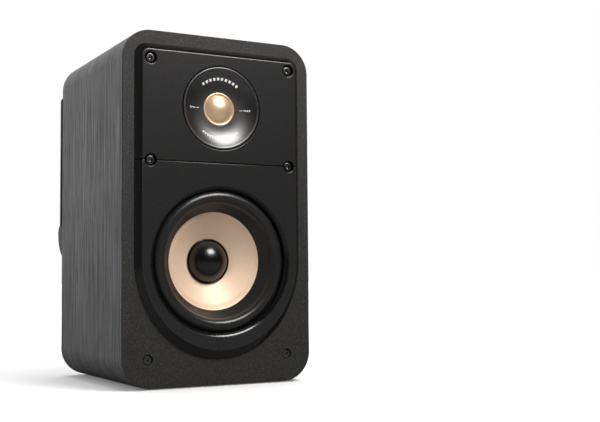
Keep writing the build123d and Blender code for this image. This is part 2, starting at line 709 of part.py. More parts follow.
nodes["woofer_coil_former"] = ring(
    FORMER_RADIUS, FORMER_RADIUS - FORMER_SHEET, NECK_Y - FORMER_LEAD, FORMER_END_Y, z=WOOFER_Z
)
nodes["woofer_voice_coil"] = ring(COIL_RADIUS, FORMER_RADIUS, *VOICE_COIL_Y, z=WOOFER_Z)
nodes["woofer_spider"] = spider()
nodes["woofer_top_plate"] = ring(TOP_PLATE_RADIUS, COIL_RADIUS + COIL_GAP, *TOP_PLATE_Y, z=WOOFER_Z)
nodes["woofer_magnet"] = ring(MAGNET_RADIUS, MAGNET_BORE, *MAGNET_Y, z=WOOFER_Z)
nodes["woofer_pole_yoke"] = (
    rod(TOP_PLATE_RADIUS, *YOKE_Y, z=WOOFER_Z)
    + rod(POLE_RADIUS, TOP_PLATE_Y[0], YOKE_Y[1], z=WOOFER_Z)
    - rod(POLE_VENT_RADIUS, TOP_PLATE_Y[0], YOKE_Y[1], z=WOOFER_Z)
)

WOOFER_STRIP_Z = WOOFER_Z - 38.0
WOOFER_STRIP_Y = 37.0
BRACKET_THICKNESS = 1.4
BRACKET_TOP_Z = WOOFER_Z - 32.4
strip_bracket = block(
    (-STRIP_HALF_WIDTH, STRIP_HALF_WIDTH),
    (WOOFER_STRIP_Y - BRACKET_THICKNESS, WOOFER_STRIP_Y),
    (WOOFER_STRIP_Z - STRIP_HALF_HEIGHT, BRACKET_TOP_Z),
)
nodes["woofer_terminal_strip"] = strip_bracket + terminal_strip(0, WOOFER_STRIP_Y, WOOFER_STRIP_Z)


LEAD_RADIUS = 0.5
LEAD_BEND = 4.0
LEAD_X = 5.0
LEAD_LOW_Z = WOOFER_STRIP_Z - 4.0
LEAD_PATH = [
    (WOOFER_STRIP_Y - BRACKET_THICKNESS, LEAD_LOW_Z),
    (29.4, LEAD_LOW_Z),
    (28.4, LEAD_LOW_Z + 15.5),
    (30.5, WOOFER_Z - 13.2),
]


def tinsel_lead(side):
    """One flexible lead, from the terminal strip through a basket window and up to the former."""
    return routed(LEAD_RADIUS, [(side * LEAD_X, y, z) for y, z in LEAD_PATH], LEAD_BEND)


nodes["tinsel_leads"] = joined([tinsel_lead(side) for side in (-1, 1)])


# ---- crossover -----------------------------------------------------------------------------------

BOARD_X = 46.0
BOARD_Y = (88.0, 156.0)
BOARD_Z = INNER_BOTTOM + 6.0
BOARD_TOP = BOARD_Z + 1.6
STANDOFF_X = 40.0
STANDOFF_MARGIN = 6.0
STANDOFF_RADIUS = 3.2
STANDOFF_Y = (BOARD_Y[0] + STANDOFF_MARGIN, BOARD_Y[1] - STANDOFF_MARGIN)
STANDOFFS = [(side * STANDOFF_X, y) for side in (-1, 1) for y in STANDOFF_Y]
BOARD_SCREW_HOLE = 1.7
BOARD_SCREW_HEAD = 2.3
BOARD_SCREW_SHANK = 1.4
WOOFER_COIL = (-24.0, 108.0, 17.0, 7.0, 15.0)
TWEETER_COIL = (16.0, 104.0, 12.0, 5.0, 10.0)
LARGE_CAPACITOR = (24.0, 130.0, 8.0, 34.0)
SMALL_CAPACITOR = (-18.0, 138.0, 6.0, 28.0)
RESISTOR_X = (-30.0, -4.0)
RESISTOR_Y = (146.0, 154.0)
RESISTOR_HEIGHT = 8.0

board = block((-BOARD_X, BOARD_X), BOARD_Y, (BOARD_Z, BOARD_TOP))
for post_x, post_y in STANDOFFS:
    board -= upright_rod(BOARD_SCREW_HOLE, BOARD_Z, BOARD_TOP, post_x, post_y)
nodes["crossover_board"] = board
standoffs = [upright_rod(STANDOFF_RADIUS, INNER_BOTTOM, BOARD_Z, x, y) for x, y in STANDOFFS]
nodes["board_standoffs"] = joined(standoffs)
board_screws = [
    upright_rod(BOARD_SCREW_HEAD, BOARD_TOP, BOARD_TOP + HEAD_HEIGHT, x, y)
    + upright_rod(BOARD_SCREW_SHANK, BOARD_Z, BOARD_TOP, x, y)
    for x, y in STANDOFFS
]


def air_coil(x, y, outer, inner, height):
    """A wound coil that stands on the board."""
    winding = upright_rod(outer, BOARD_TOP, BOARD_TOP + height, x, y)
    return winding - upright_rod(inner, BOARD_TOP, BOARD_TOP + height, x, y)


def lying_capacitor(x, y, radius, length):
    return Pos(x, y, BOARD_TOP + radius) * (Rot(0, 90, 0) * Cylinder(radius, length))


nodes["inductors"] = joined([air_coil(*WOOFER_COIL), air_coil(*TWEETER_COIL)])
nodes["capacitors"] = joined([lying_capacitor(*LARGE_CAPACITOR), lying_capacitor(*SMALL_CAPACITOR)])
nodes["resistor"] = block(RESISTOR_X, RESISTOR_Y, (BOARD_TOP, BOARD_TOP + RESISTOR_HEIGHT))


# ---- port and its diffuser -----------------------------------------------------------------------

GASKET = 1.0
FLANGE_Y = (REAR_Y + GASKET, REAR_Y + GASKET + 2.0)
FLARE = 7.0
PORT_OUTER = PORT_RADIUS + PORT_WALL
PORT_SHOULDER = 32.0
PORT_SCREW_CIRCLE = 35.2
PORT_SCREW_HEAD = 2.3
PORT_SCREW_SHANK = 1.4
PLATE_Y = (REAR_Y + DIFFUSER_GAP, REAR_Y + DIFFUSER_GAP + DIFFUSER_THICKNESS)
DIFFUSER_POST_X = 62.0
DIFFUSER_POST_Z = 247.0
NOSE_SCREW_Z = 124.0
DIFFUSER_SCREW_SHANK = 1.8
DIFFUSER_SCREW_HOLE = 2.0
DIFFUSER_SCREW_HEAD = 4.0
HEAD_RECESS_RADIUS = 4.6
HEAD_RECESS = 1.0
DIFFUSER_SCREW_GRIP = 9.0
NOTCH_HALF_WIDTH = 14.0
NOTCH_DEPTH = 9.0
DIFFUSER_CORNER = 4.0
DIFFUSER_OVERLAP = 4.0
NOSE_WALL = 3.0
NOSE_HOLLOW_Y = (REAR_Y, REAR_Y + 12.0)
NOSE_HOLLOW_Z = (NOSE_BOTTOM + 7.0, NOSE_TOP - 6.0)
NOSE_POST_RADIUS = 5.5
NOSE_POST_END_Y = REAR_Y + 13.0
PLATE_POST_RADIUS = 5.0
BULB_TIP = (2.5, PLATE_Y[0] - 8.0)
BULB_MIDDLE = (8.5, PLATE_Y[0] - 2.6)
BULB_EDGE = (22.0, PLATE_Y[0])
BEHIND = REAR_Y + 40.0
DIFFUSER_SEATS = ((DIFFUSER_POST_Z, PLATE_Y[1] - HEAD_RECESS), (NOSE_SCREW_Z, REAR_Y + 9.0))
SMALL_SCREW_LENGTH = 11.0


def port_tube():
    """A straight tube with a round flare at each end, a shoulder in the panel and a flange behind it."""
    middle = FLARE * (1 - cos(pi / 4))
    inner_y = PORT_INNER_END_Y
    outer_y = FLANGE_Y[1]
    wide = PORT_RADIUS + FLARE
    bore = [
        ThreePointArc(
            (wide, inner_y),
            (PORT_RADIUS + middle, inner_y + middle),
            (PORT_RADIUS, inner_y + FLARE),
        ),
        Line((PORT_RADIUS, inner_y + FLARE), (PORT_RADIUS, outer_y - FLARE)),
        ThreePointArc(
            (PORT_RADIUS, outer_y - FLARE),
            (PORT_RADIUS + middle, outer_y - middle),
            (wide, outer_y),
        ),
    ]
    outside = Polyline(
        (wide, outer_y),
        (PORT_FLANGE_RADIUS, outer_y),
        (PORT_FLANGE_RADIUS, FLANGE_Y[0]),
        (PORT_SHOULDER, FLANGE_Y[0]),
        (PORT_SHOULDER, REAR_INNER_Y),
        (PORT_OUTER, REAR_INNER_Y),
        (PORT_OUTER, inner_y + FLARE),
        (wide + PORT_WALL, inner_y + 1),
        (wide + PORT_WALL, inner_y),
        (wide, inner_y),
    )
    tube = turned(bore + outside.edges(), PORT_Z)
    for x, z in on_circle(PORT_SCREW_CIRCLE, 4, 45):
        tube -= rod(PORT_SCREW_SHANK + SCREW_CLEARANCE, REAR_Y, outer_y, x, PORT_Z + z)
    return tube


def nose_outline():
    """The rounded lower end of the diffuser, seen from the side, as (y, z)."""
    reach_y = REAR_Y + NOSE_REACH
    crest_z = NOSE_TOP - 6.0
    return make_face([
        Line((REAR_Y, NOSE_BOTTOM), (REAR_Y, NOSE_TOP - 2)),
        Line((REAR_Y, NOSE_TOP - 2), (PLATE_Y[1], NOSE_TOP + 1)),
        ThreePointArc((PLATE_Y[1], NOSE_TOP + 1), (reach_y - 1.2, NOSE_TOP - 1.8), (reach_y, crest_z)),
        ThreePointArc((reach_y, crest_z), (reach_y - 4.2, NOSE_BOTTOM + 11), (REAR_Y, NOSE_BOTTOM)),
    ])


def port_diffuser():
    """A plate on two posts and a hollow nose, with a cone facing the port and a notch below the keyhole."""
    half = DIFFUSER_HALF_WIDTH
    low_z = NOSE_TOP - DIFFUSER_OVERLAP
    shape = Pos(0, (DIFFUSER_TOP + low_z) / 2) * Rectangle(2 * half, DIFFUSER_TOP - low_z)
    shape = fillet(shape.vertices().group_by(Axis.Y)[-1], DIFFUSER_CORNER)
    shape -= Pos(0, DIFFUSER_TOP) * RectangleRounded(2 * NOTCH_HALF_WIDTH, 2 * NOTCH_DEPTH, DIFFUSER_CORNER)
    body = slab(shape, *PLATE_Y)
    nose = extrude(Plane.YZ * nose_outline(), amount=half, both=True)
    nose -= block((NOSE_WALL - half, half - NOSE_WALL), NOSE_HOLLOW_Y, NOSE_HOLLOW_Z)
    for side in (-1, 1):
        x = side * DIFFUSER_POST_X
        nose += rod(NOSE_POST_RADIUS, REAR_Y, NOSE_POST_END_Y, x, NOSE_SCREW_Z)
        body += rod(PLATE_POST_RADIUS, REAR_Y, PLATE_Y[0], x, DIFFUSER_POST_Z)
    body += nose
    buried_y = PLATE_Y[0] + 1
    body += turned(
        [
            Line((0, buried_y), (0, BULB_TIP[1])),
            Line((0, BULB_TIP[1]), BULB_TIP),
            ThreePointArc(BULB_TIP, BULB_MIDDLE, BULB_EDGE),
            Line(BULB_EDGE, (BULB_EDGE[0], buried_y)),
            Line((BULB_EDGE[0], buried_y), (0, buried_y)),
        ],
        PORT_Z,
    )
    for side in (-1, 1):
        x = side * DIFFUSER_POST_X
        for z, seat_y in DIFFUSER_SEATS:
            body -= rod(DIFFUSER_SCREW_HOLE, REAR_Y, BEHIND, x, z)
            body -= rod(HEAD_RECESS_RADIUS, seat_y, BEHIND, x, z)
    return body


nodes["port_tube"] = port_tube()
port_gasket = ring(PORT_FLANGE_RADIUS, PORT_SHOULDER + 0.4, REAR_Y, FLANGE_Y[0], z=PORT_Z)
for gasket_x, gasket_z in on_circle(PORT_SCREW_CIRCLE, 4, 45):
    port_gasket -= rod(PORT_SCREW_SHANK + SCREW_CLEARANCE, REAR_Y, FLANGE_Y[0], gasket_x, PORT_Z + gasket_z)
nodes["port_gasket"] = port_gasket
port_screws = [
    slotted_screw(x, PORT_Z + z, FLANGE_Y[1], SMALL_SCREW_LENGTH, PORT_SCREW_HEAD, PORT_SCREW_SHANK, 1)
    for x, z in on_circle(PORT_SCREW_CIRCLE, 4, 45)
]
nodes["port_diffuser"] = port_diffuser()
diffuser_screws = []
for side in (-1, 1):
    for z, seat_y in DIFFUSER_SEATS:
        x = side * DIFFUSER_POST_X
        length = seat_y - REAR_Y + DIFFUSER_SCREW_GRIP
        diffuser_screws.append(
            slotted_screw(x, z, seat_y, length, DIFFUSER_SCREW_HEAD, DIFFUSER_SCREW_SHANK, 1)
        )
nodes["diffuser_screws"] = joined(diffuser_screws)


# ---- terminal cup and binding posts --------------------------------------------------------------

CUP_FLOOR_Y = REAR_Y - CUP_DEPTH
CUP_FLANGE = 8.0
CUP_FLANGE_Y = (REAR_Y, REAR_Y + 2.5)
CUP_SCREW_X = CUP_HALF_WIDTH + 4.2
CUP_SCREW_Z = CUP_HALF_HEIGHT + 4.2
CUP_CORNERS = (5.0, 4.0, 3.0)
COLLAR_RADIUS = 7.8
COLLAR_Y = (CUP_FLOOR_Y, CUP_FLOOR_Y + 3.0)
SLIDE_GAP = 0.05
WASHER_Y = (COLLAR_Y[1] + SLIDE_GAP, COLLAR_Y[1] + 1.25)
NUT_Y = (WASHER_Y[1] + SLIDE_GAP, WASHER_Y[1] + SLIDE_GAP + NUT_LENGTH)
STUD_END_Y = NUT_Y[1] - 2.0
STUD_START_Y = CUP_FLOOR_Y - CUP_WALL - 8.0
STUD_CLEARANCE = 0.15
WIRE_HOLE = 1.4
WIRE_HOLE_REACH = 6.0
NUT_BEVEL = 0.8
WASHER_RADIUS = NUT_RADIUS - 0.3
BACK_NUT_RADIUS = 7.0
BACK_NUT_Y = (CUP_FLOOR_Y - CUP_WALL - 4.0, CUP_FLOOR_Y - CUP_WALL)

cup_corner_screws = [(sx * CUP_SCREW_X, CUP_Z + sz * CUP_SCREW_Z) for sx in (-1, 1) for sz in (-1, 1)]


def cup_outline(margin, corner):
    """The cup's opening, grown by margin."""
    width = 2 * (CUP_HALF_WIDTH + margin)
    height = 2 * (CUP_HALF_HEIGHT + margin)
    return Pos(0, CUP_Z) * RectangleRounded(width, height, corner)


def terminal_cup():
    """A recessed cup with a flange, in the rear panel's cut-out."""
    back_y = CUP_FLOOR_Y - CUP_WALL
    cup = slab(cup_outline(CUP_FLANGE, CUP_CORNERS[0]), *CUP_FLANGE_Y)
    cup += slab(cup_outline(CUP_WALL, CUP_CORNERS[1]), back_y, REAR_Y)
    cup -= slab(cup_outline(0, CUP_CORNERS[2]), CUP_FLOOR_Y, CUP_FLANGE_Y[1])
    for side in (-1, 1):
        cup -= rod(STUD_RADIUS + STUD_CLEARANCE, back_y, CUP_FLOOR_Y, side * POST_SPACING / 2, CUP_Z)
    for screw_x, screw_z in cup_corner_screws:
        cup -= rod(PORT_SCREW_SHANK + SCREW_CLEARANCE, REAR_Y, CUP_FLANGE_Y[1], screw_x, screw_z)
    return cup


def binding_post(x):
    """A stud with a collar, a 4 mm socket in its end and a cross hole for bare wire."""
    stud = rod(STUD_RADIUS, STUD_START_Y, STUD_END_Y, x, CUP_Z)
    stud += rod(COLLAR_RADIUS, *COLLAR_Y, x, CUP_Z)
    stud -= rod(SOCKET_RADIUS, STUD_END_Y - SOCKET_LENGTH, STUD_END_Y, x, CUP_Z)
    wire_y = WASHER_Y[1] + WIRE_HOLE
    return stud - upright_rod(WIRE_HOLE, CUP_Z - WIRE_HOLE_REACH, CUP_Z + WIRE_HOLE_REACH, x, wire_y)


def thumb_nut(x):
    """A thumb nut that turns on the stud, bevelled at both ends."""
    front, back = NUT_Y
    face_radius = NUT_RADIUS - NUT_BEVEL
    section = [(NUT_BORE, front), (face_radius, front), (NUT_RADIUS, front + NUT_BEVEL)]
    section += [(NUT_RADIUS, back - NUT_BEVEL), (face_radius, back), (NUT_BORE, back)]
    return turned_points(section, CUP_Z, x)


nodes["terminal_cup"] = terminal_cup()
cup_screws = [
    slotted_screw(x, z, CUP_FLANGE_Y[1], SMALL_SCREW_LENGTH, PORT_SCREW_HEAD, PORT_SCREW_SHANK, 1)
    for x, z in cup_corner_screws
]
back_nuts = []
for polarity, post_side in (("positive", -1), ("negative", 1)):
    post_x = post_side * POST_SPACING / 2
    nodes["binding_post_" + polarity] = binding_post(post_x)
    nodes["clamp_washer_" + polarity] = ring(WASHER_RADIUS, NUT_BORE, *WASHER_Y, post_x, CUP_Z)
    nodes["thumb_nut_" + polarity] = thumb_nut(post_x)
    hexagon = RegularPolygon(BACK_NUT_RADIUS, 6) - Circle(STUD_RADIUS + SCREW_CLEARANCE)
    back_nuts.append(slab(Pos(post_x, CUP_Z) * hexagon, *BACK_NUT_Y))
nodes["binding_post_nuts"] = joined(back_nuts)


# ---- rear panel and its wall fixings -------------------------------------------------------------

KEYHOLE_PLATE_Y = (REAR_Y, REAR_Y + 1.5)
KEYHOLE_HALF_WIDTH = 20.0
KEYHOLE_PLATE_Z = (260.5, 280.5)
KEYHOLE_RADIUS = 4.5
KEYHOLE_SLOT = 2.3
KEYHOLE_TOP = KEYHOLE_Z + 8.0
KEYHOLE_SCREW_X = 14.5
KEYHOLE_SCREW_Z = KEYHOLE_Z + 3.0
KEYHOLE_SCREW_LENGTH = 10.0
KEYHOLE_POCKET_X = 7.0
KEYHOLE_POCKET_DEPTH = 8.0
KEYHOLE_POCKET_Z = (KEYHOLE_Z - 5.0, KEYHOLE_TOP + 5.0)
INSERT_RADIUS = 4.5
PORT_HOLE_CLEARANCE = 0.2
CUP_HOLE_CLEARANCE = 0.3
REAR_SCREW_DEPTH = 10.0


def keyhole_plate():
    """A steel hanger plate: a round hole that a screw's head passes, and a slot above it."""
    plate = block((-KEYHOLE_HALF_WIDTH, KEYHOLE_HALF_WIDTH), KEYHOLE_PLATE_Y, KEYHOLE_PLATE_Z)
    plate -= rod(KEYHOLE_RADIUS, *KEYHOLE_PLATE_Y, z=KEYHOLE_Z)
    plate -= rod(KEYHOLE_SLOT, *KEYHOLE_PLATE_Y, z=KEYHOLE_TOP)
    plate -= block((-KEYHOLE_SLOT, KEYHOLE_SLOT), KEYHOLE_PLATE_Y, (KEYHOLE_Z, KEYHOLE_TOP))
    for side in (-1, 1):
        plate -= rod(
            PORT_SCREW_SHANK + SCREW_CLEARANCE, *KEYHOLE_PLATE_Y, side * KEYHOLE_SCREW_X, KEYHOLE_SCREW_Z
        )
    return plate


def rear_panel():
    board = block((-INNER_X, INNER_X), (REAR_INNER_Y, REAR_Y), (INNER_BOTTOM, INNER_TOP))
    board -= rod(PORT_SHOULDER + PORT_HOLE_CLEARANCE, REAR_INNER_Y, REAR_Y, z=PORT_Z)
    cup_margin = CUP_WALL + CUP_HOLE_CLEARANCE
    board -= slab(cup_outline(cup_margin, CUP_CORNERS[1] + CUP_HOLE_CLEARANCE), REAR_INNER_Y, REAR_Y)
    board -= block(
        (-KEYHOLE_POCKET_X, KEYHOLE_POCKET_X), (REAR_Y - KEYHOLE_POCKET_DEPTH, REAR_Y), KEYHOLE_POCKET_Z
    )
    board -= rod(INSERT_RADIUS + SCREW_CLEARANCE, REAR_INNER_Y, REAR_Y, z=INSERT_Z)
    small = PORT_SCREW_SHANK + SCREW_CLEARANCE
    holes = [(x, PORT_Z + z, small) for x, z in on_circle(PORT_SCREW_CIRCLE, 4, 45)]
    holes += [(x, z, small) for x, z in cup_corner_screws]
    for side in (-1, 1):
        holes.append((side * KEYHOLE_SCREW_X, KEYHOLE_SCREW_Z, small))
        for z in (DIFFUSER_POST_Z, NOSE_SCREW_Z):
            holes.append((side * DIFFUSER_POST_X, z, DIFFUSER_SCREW_SHANK + SCREW_CLEARANCE))
    for x, z, radius in holes:
        board -= rod(radius, REAR_Y - REAR_SCREW_DEPTH, REAR_Y, x, z)
    return board


nodes["rear_panel"] = rear_panel()
nodes["keyhole_plate"] = keyhole_plate()
keyhole_screws = [
    slotted_screw(
        side * KEYHOLE_SCREW_X,
        KEYHOLE_SCREW_Z,
        KEYHOLE_PLATE_Y[1],
        KEYHOLE_SCREW_LENGTH,
        PORT_SCREW_HEAD,
        PORT_SCREW_SHANK,
        1,
    )
    for side in (-1, 1)
]
nodes["small_screws"] = joined(port_screws + cup_screws + keyhole_screws + board_screws)
nodes["threaded_insert"] = ring(INSERT_RADIUS, INSERT_BORE, REAR_INNER_Y, REAR_Y, z=INSERT_Z)


# ---- inner wires ---------------------------------------------------------------------------------

WIRE = 1.1
WIRE_BEND = 7.0


TERMINAL_REACH = 9.2
BOARD_CONTACT_Z = BOARD_TOP + 1.2
WIRE_GAP = 10.0
WOOFER_ROUTE = [
    (0, WOOFER_STRIP_Y + TERMINAL_REACH, WOOFER_STRIP_Z),
    (0, WOOFER_STRIP_Y + 16, WOOFER_STRIP_Z - 22),
    (0, BOARD_Y[0] - 10, BOARD_TOP + 12),
    (0, BOARD_Y[0] + 4, BOARD_CONTACT_Z),
]
TWEETER_ROUTE = [
    (0, TWEETER_CUP_Y[1] + TERMINAL_REACH, TWEETER_Z),
    (0, TWEETER_CUP_Y[1] + 24, TWEETER_Z - 30),
    (-38, 82, 150),
    (-38, 84, 60),
    (-38, BOARD_Y[0] + 2, BOARD_CONTACT_Z),
]
INPUT_ROUTE = [
    (0, STUD_START_Y - 1.2, CUP_Z),
    (0, STUD_START_Y - 16, CUP_Z - 4),
    (4, BOARD_Y[1] - 38, BOARD_TOP + 18),
    (4, BOARD_Y[1] - 34, BOARD_CONTACT_Z),
]


def wire_pair(route, gap):
    """Two parallel wires along one route, side by side in X."""
    wires = []
    for side in (-1, 1):
        points = [(x + side * gap / 2, y, z) for x, y, z in route]
        wires.append(routed(WIRE, points, WIRE_BEND))
    return joined(wires)


woofer_wires = wire_pair(WOOFER_ROUTE, WIRE_GAP)
tweeter_wires = wire_pair(TWEETER_ROUTE, WIRE_GAP)
input_wires = wire_pair(INPUT_ROUTE, POST_SPACING)
nodes["inner_wires"] = joined([woofer_wires, tweeter_wires, input_wires])

for name, shape in nodes.items():
    placed = Pos(0, -CENTRE_Y, 0) * shape
    placed.label = name
    export_step(placed, "parts/" + name + ".step")
print(len(nodes), "nodes; everything is moved by y", -CENTRE_Y)
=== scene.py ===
import json
import math

import bmesh
import bpy
from mathutils import Matrix, Vector
from mathutils.geometry import tessellate_polygon
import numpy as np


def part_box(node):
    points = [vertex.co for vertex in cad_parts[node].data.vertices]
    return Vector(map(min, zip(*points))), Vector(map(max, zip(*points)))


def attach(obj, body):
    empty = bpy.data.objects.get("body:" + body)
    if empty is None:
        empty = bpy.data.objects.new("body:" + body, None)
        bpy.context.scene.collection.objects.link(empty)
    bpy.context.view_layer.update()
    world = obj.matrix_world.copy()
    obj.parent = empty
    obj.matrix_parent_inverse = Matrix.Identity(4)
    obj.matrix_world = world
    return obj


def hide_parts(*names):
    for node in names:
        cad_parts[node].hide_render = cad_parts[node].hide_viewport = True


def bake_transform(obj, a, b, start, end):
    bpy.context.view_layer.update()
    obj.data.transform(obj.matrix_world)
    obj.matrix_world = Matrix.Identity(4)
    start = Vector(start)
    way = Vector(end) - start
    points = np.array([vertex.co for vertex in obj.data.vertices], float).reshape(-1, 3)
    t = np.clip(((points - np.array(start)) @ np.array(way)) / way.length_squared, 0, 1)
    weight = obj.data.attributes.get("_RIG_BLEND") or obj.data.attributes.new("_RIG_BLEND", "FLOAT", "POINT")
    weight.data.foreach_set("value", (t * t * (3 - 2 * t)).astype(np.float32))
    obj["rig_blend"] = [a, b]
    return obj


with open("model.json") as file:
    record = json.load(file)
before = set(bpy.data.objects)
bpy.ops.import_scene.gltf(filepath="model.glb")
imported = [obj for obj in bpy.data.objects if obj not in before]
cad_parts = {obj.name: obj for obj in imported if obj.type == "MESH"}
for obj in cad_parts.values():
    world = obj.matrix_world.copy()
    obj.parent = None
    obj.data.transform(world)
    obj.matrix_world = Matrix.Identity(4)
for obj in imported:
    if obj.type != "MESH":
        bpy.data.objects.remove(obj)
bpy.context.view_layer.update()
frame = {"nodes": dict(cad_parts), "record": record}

MM = 0.001

# ---- places and sizes, in metres, from the frame ---------

BAFFLE_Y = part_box("baffle_facing")[0].y
FACE_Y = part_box("upper_front_plate")[0].y
RAISE = BAFFLE_Y - FACE_Y


def middle(node):
    low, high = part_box(node)
    return (low + high) / 2


WOOFER = Vector((0, BAFFLE_Y, middle("woofer_magnet").z))
TWEETER = Vector((0, BAFFLE_Y, middle("tweeter_magnet").z))

# ---- node trees ------------------------------------------


class Nodes:
    """Short-hand for filling a node tree."""

    def __init__(self, tree):
        self.tree = tree

    def node(self, kind, output, inputs=None, **settings):
        """Adds a node, sets or links its inputs, and returns one of its outputs."""
        made = self.tree.nodes.new("ShaderNode" + kind)
        for setting, value in settings.items():
            setattr(made, setting, value)
        for key, value in (inputs or {}).items():
            if isinstance(value, bpy.types.NodeSocket):
                self.tree.links.new(value, made.inputs[key])
            else:
                made.inputs[key].default_value = value
        return made.outputs[output]


class Finish(Nodes):
    """One procedural material: a Principled shader and short-hand for the nodes that feed it."""

    def __init__(self, name, colour, roughness=0.5, metallic=0.0, **sockets):
        self.material = bpy.data.materials.new(name)
        self.material.use_nodes = True
        super().__init__(self.material.node_tree)
        self.shader = self.tree.nodes["Principled BSDF"]
        self.set("Base Color", (*colour, 1.0))
        self.set("Roughness", roughness)
        self.set("Metallic", metallic)
        for socket, value in sockets.items():
            self.set(socket.replace("_", " "), value)

    def set(self, socket, value):
        if isinstance(value, bpy.types.NodeSocket):
            self.tree.links.new(value, self.shader.inputs[socket])
        else:
            self.shader.inputs[socket].default_value = value

    def place(self, scale=(1, 1, 1), source="Object"):
        """Coordinates in metres (Object) or along the surface (UV), stretched by scale."""
        return self.node("Mapping", "Vector", {"Vector": self.node("TexCoord", source), "Scale": scale})

    def noise(self, vector, scale, detail, roughness=0.55):
        values = {"Vector": vector, "Scale": scale, "Detail": detail, "Roughness": roughness}
        return self.node("TexNoise", "Fac", values)

    def cells(self, vector, scale):
        """The distance to the nearest edge between irregular cells."""
        values = {"Vector": vector, "Scale": scale}
        return self.node("TexVoronoi", "Distance", values, feature="DISTANCE_TO_EDGE")

    def fit(self, value, low, high, new_low, new_high):
        """Maps low..high to new_low..new_high, clamped."""
        values = {0: value, 1: low, 2: high, 3: new_low, 4: new_high}
        return self.node("MapRange", 0, values)

    def math(self, operation, a, b=0.0):
        return self.node("Math", 0, {0: a, 1: b}, operation=operation)

    def mix(self, factor, a, b):
        """Mixes two colours, each a tuple or another node's output."""
        values = {0: factor}
        for key, colour in ((6, a), (7, b)):
            values[key] = colour if isinstance(colour, bpy.types.NodeSocket) else (*colour, 1.0)
        return self.node("Mix", 2, values, data_type="RGBA")

    def bump(self, height, depth, strength=1.0):
        """A bump whose height of 0..1 stands for depth metres."""
        return self.node("Bump", "Normal", {"Height": height, "Distance": depth, "Strength": strength})


SLOW_TONE = 18.0
GRAIN_SPREAD = 0.06


def grained(name, colour, roughness=0.5, metallic=0.0, grain=900.0, depth=0.00004, contrast=0.12):
    """A plain moulded, cast or painted surface: fine grain in height and roughness, slow changes of tone."""
    finish = Finish(name, colour, roughness, metallic)
    where = finish.place()
    fine = finish.noise(where, grain, 3.0)
    slow = finish.noise(where, SLOW_TONE, 3.0)
    dark = tuple(c * (1 - contrast) for c in colour)
    light = tuple(min(1.0, c * (1 + contrast)) for c in colour)
    finish.set("Base Color", finish.mix(slow, dark, light))
    smoother, rougher = max(0.02, roughness - GRAIN_SPREAD), min(1.0, roughness + GRAIN_SPREAD)
    finish.set("Roughness", finish.fit(fine, 0.25, 0.75, smoother, rougher))
    finish.set("Normal", finish.bump(fine, depth))
    return finish.material


def black_ash():
    """Vinyl wrap printed and embossed as black ash: long grain lines along U, fine pores, a slow waviness."""
    finish = Finish("black_ash_vinyl", (0.05, 0.05, 0.053), 0.5)
    flat = finish.place((1, 1, 1), "UV")
    sway = finish.noise(finish.place((7, 20, 1), "UV"), 1.0, 2.0)
    offset = finish.node("CombineXYZ", "Vector", {"Y": finish.math("MULTIPLY", sway, 0.010)})
    swayed = finish.node("VectorMath", "Vector", {0: flat, 1: offset}, operation="ADD")

    def streaks(along, across, detail, roughness):
        """Noise that repeats so many times per metre along and across the grain."""
        at = finish.node("Mapping", "Vector", {"Vector": swayed, "Scale": (along, across, 1)})
        return finish.noise(at, 1.0, detail, roughness)

    broad = finish.fit(streaks(9, 380, 2.0, 0.6), 0.36, 0.64, 0.0, 1.0)
    lines = finish.fit(streaks(16, 950, 3.0, 0.7), 0.34, 0.66, 0.0, 1.0)
    pores = finish.fit(streaks(34, 560, 2.0, 0.5), 0.58, 0.68, 0.0, 1.0)
    clouds = finish.fit(finish.noise(finish.place((16, 16, 1), "UV"), 1.0, 3.0), 0.3, 0.7, 0.0, 1.0)
    tone = finish.math("ADD", finish.math("MULTIPLY", broad, 0.5), finish.math("MULTIPLY", lines, 0.4))
    tone = finish.math("ADD", tone, finish.math("MULTIPLY", clouds, 0.1))
    ground = finish.mix(tone, (0.014, 0.014, 0.0145), (0.135, 0.137, 0.142))
    finish.set("Base Color", finish.mix(pores, ground, (0.006, 0.006, 0.0065)))
    finish.set("Roughness", finish.fit(tone, 0.0, 1.0, 0.66, 0.38))
    height = finish.math("SUBTRACT", tone, finish.math("MULTIPLY", pores, 0.8))
    finish.set("Normal", finish.bump(height, 0.00012, 1.0))
    return finish.material


def leather_grain():
    """The baffle's facing: pebbled cells of 1.3 to 2.6 mm with creases between them, the creases painted
    darker as shade.
    """
    finish = Finish("leather_grained_facing", (0.03, 0.03, 0.031), 0.55)
    where = finish.place()
    warp = finish.node("TexNoise", "Color", {"Vector": where, "Scale": 420.0, "Detail": 2.0})
    bent = finish.node("Mix", 1, {0: 0.0012, 4: where, 5: warp}, data_type="VECTOR")
    small = finish.fit(finish.cells(bent, 760.0), 0.0, 0.32, 0.0, 1.0)
    large = finish.fit(finish.cells(bent, 380.0), 0.0, 0.24, 0.0, 1.0)
    patch = finish.noise(where, 330.0, 3.0, 0.6)
    creases = finish.fit(large, 0.0, 1.0, 0.35, 1.0)
    pebbles = finish.math("MULTIPLY", finish.math("POWER", small, 0.7), creases)
    height = finish.math("MULTIPLY", pebbles, finish.fit(patch, 0.3, 0.7, 0.55, 1.0))
    # Painted shade: the base colour follows the pebble height, near-black in the creases and lighter on the
    # pebble tops.
    finish.set("Base Color", finish.mix(height, (0.007, 0.007, 0.007), (0.036, 0.0355, 0.035)))
    finish.set("Roughness", finish.fit(height, 0.0, 1.0, 0.65, 0.42))
    finish.set("Normal", finish.bump(height, 0.00026, 1.0))
    return finish.material


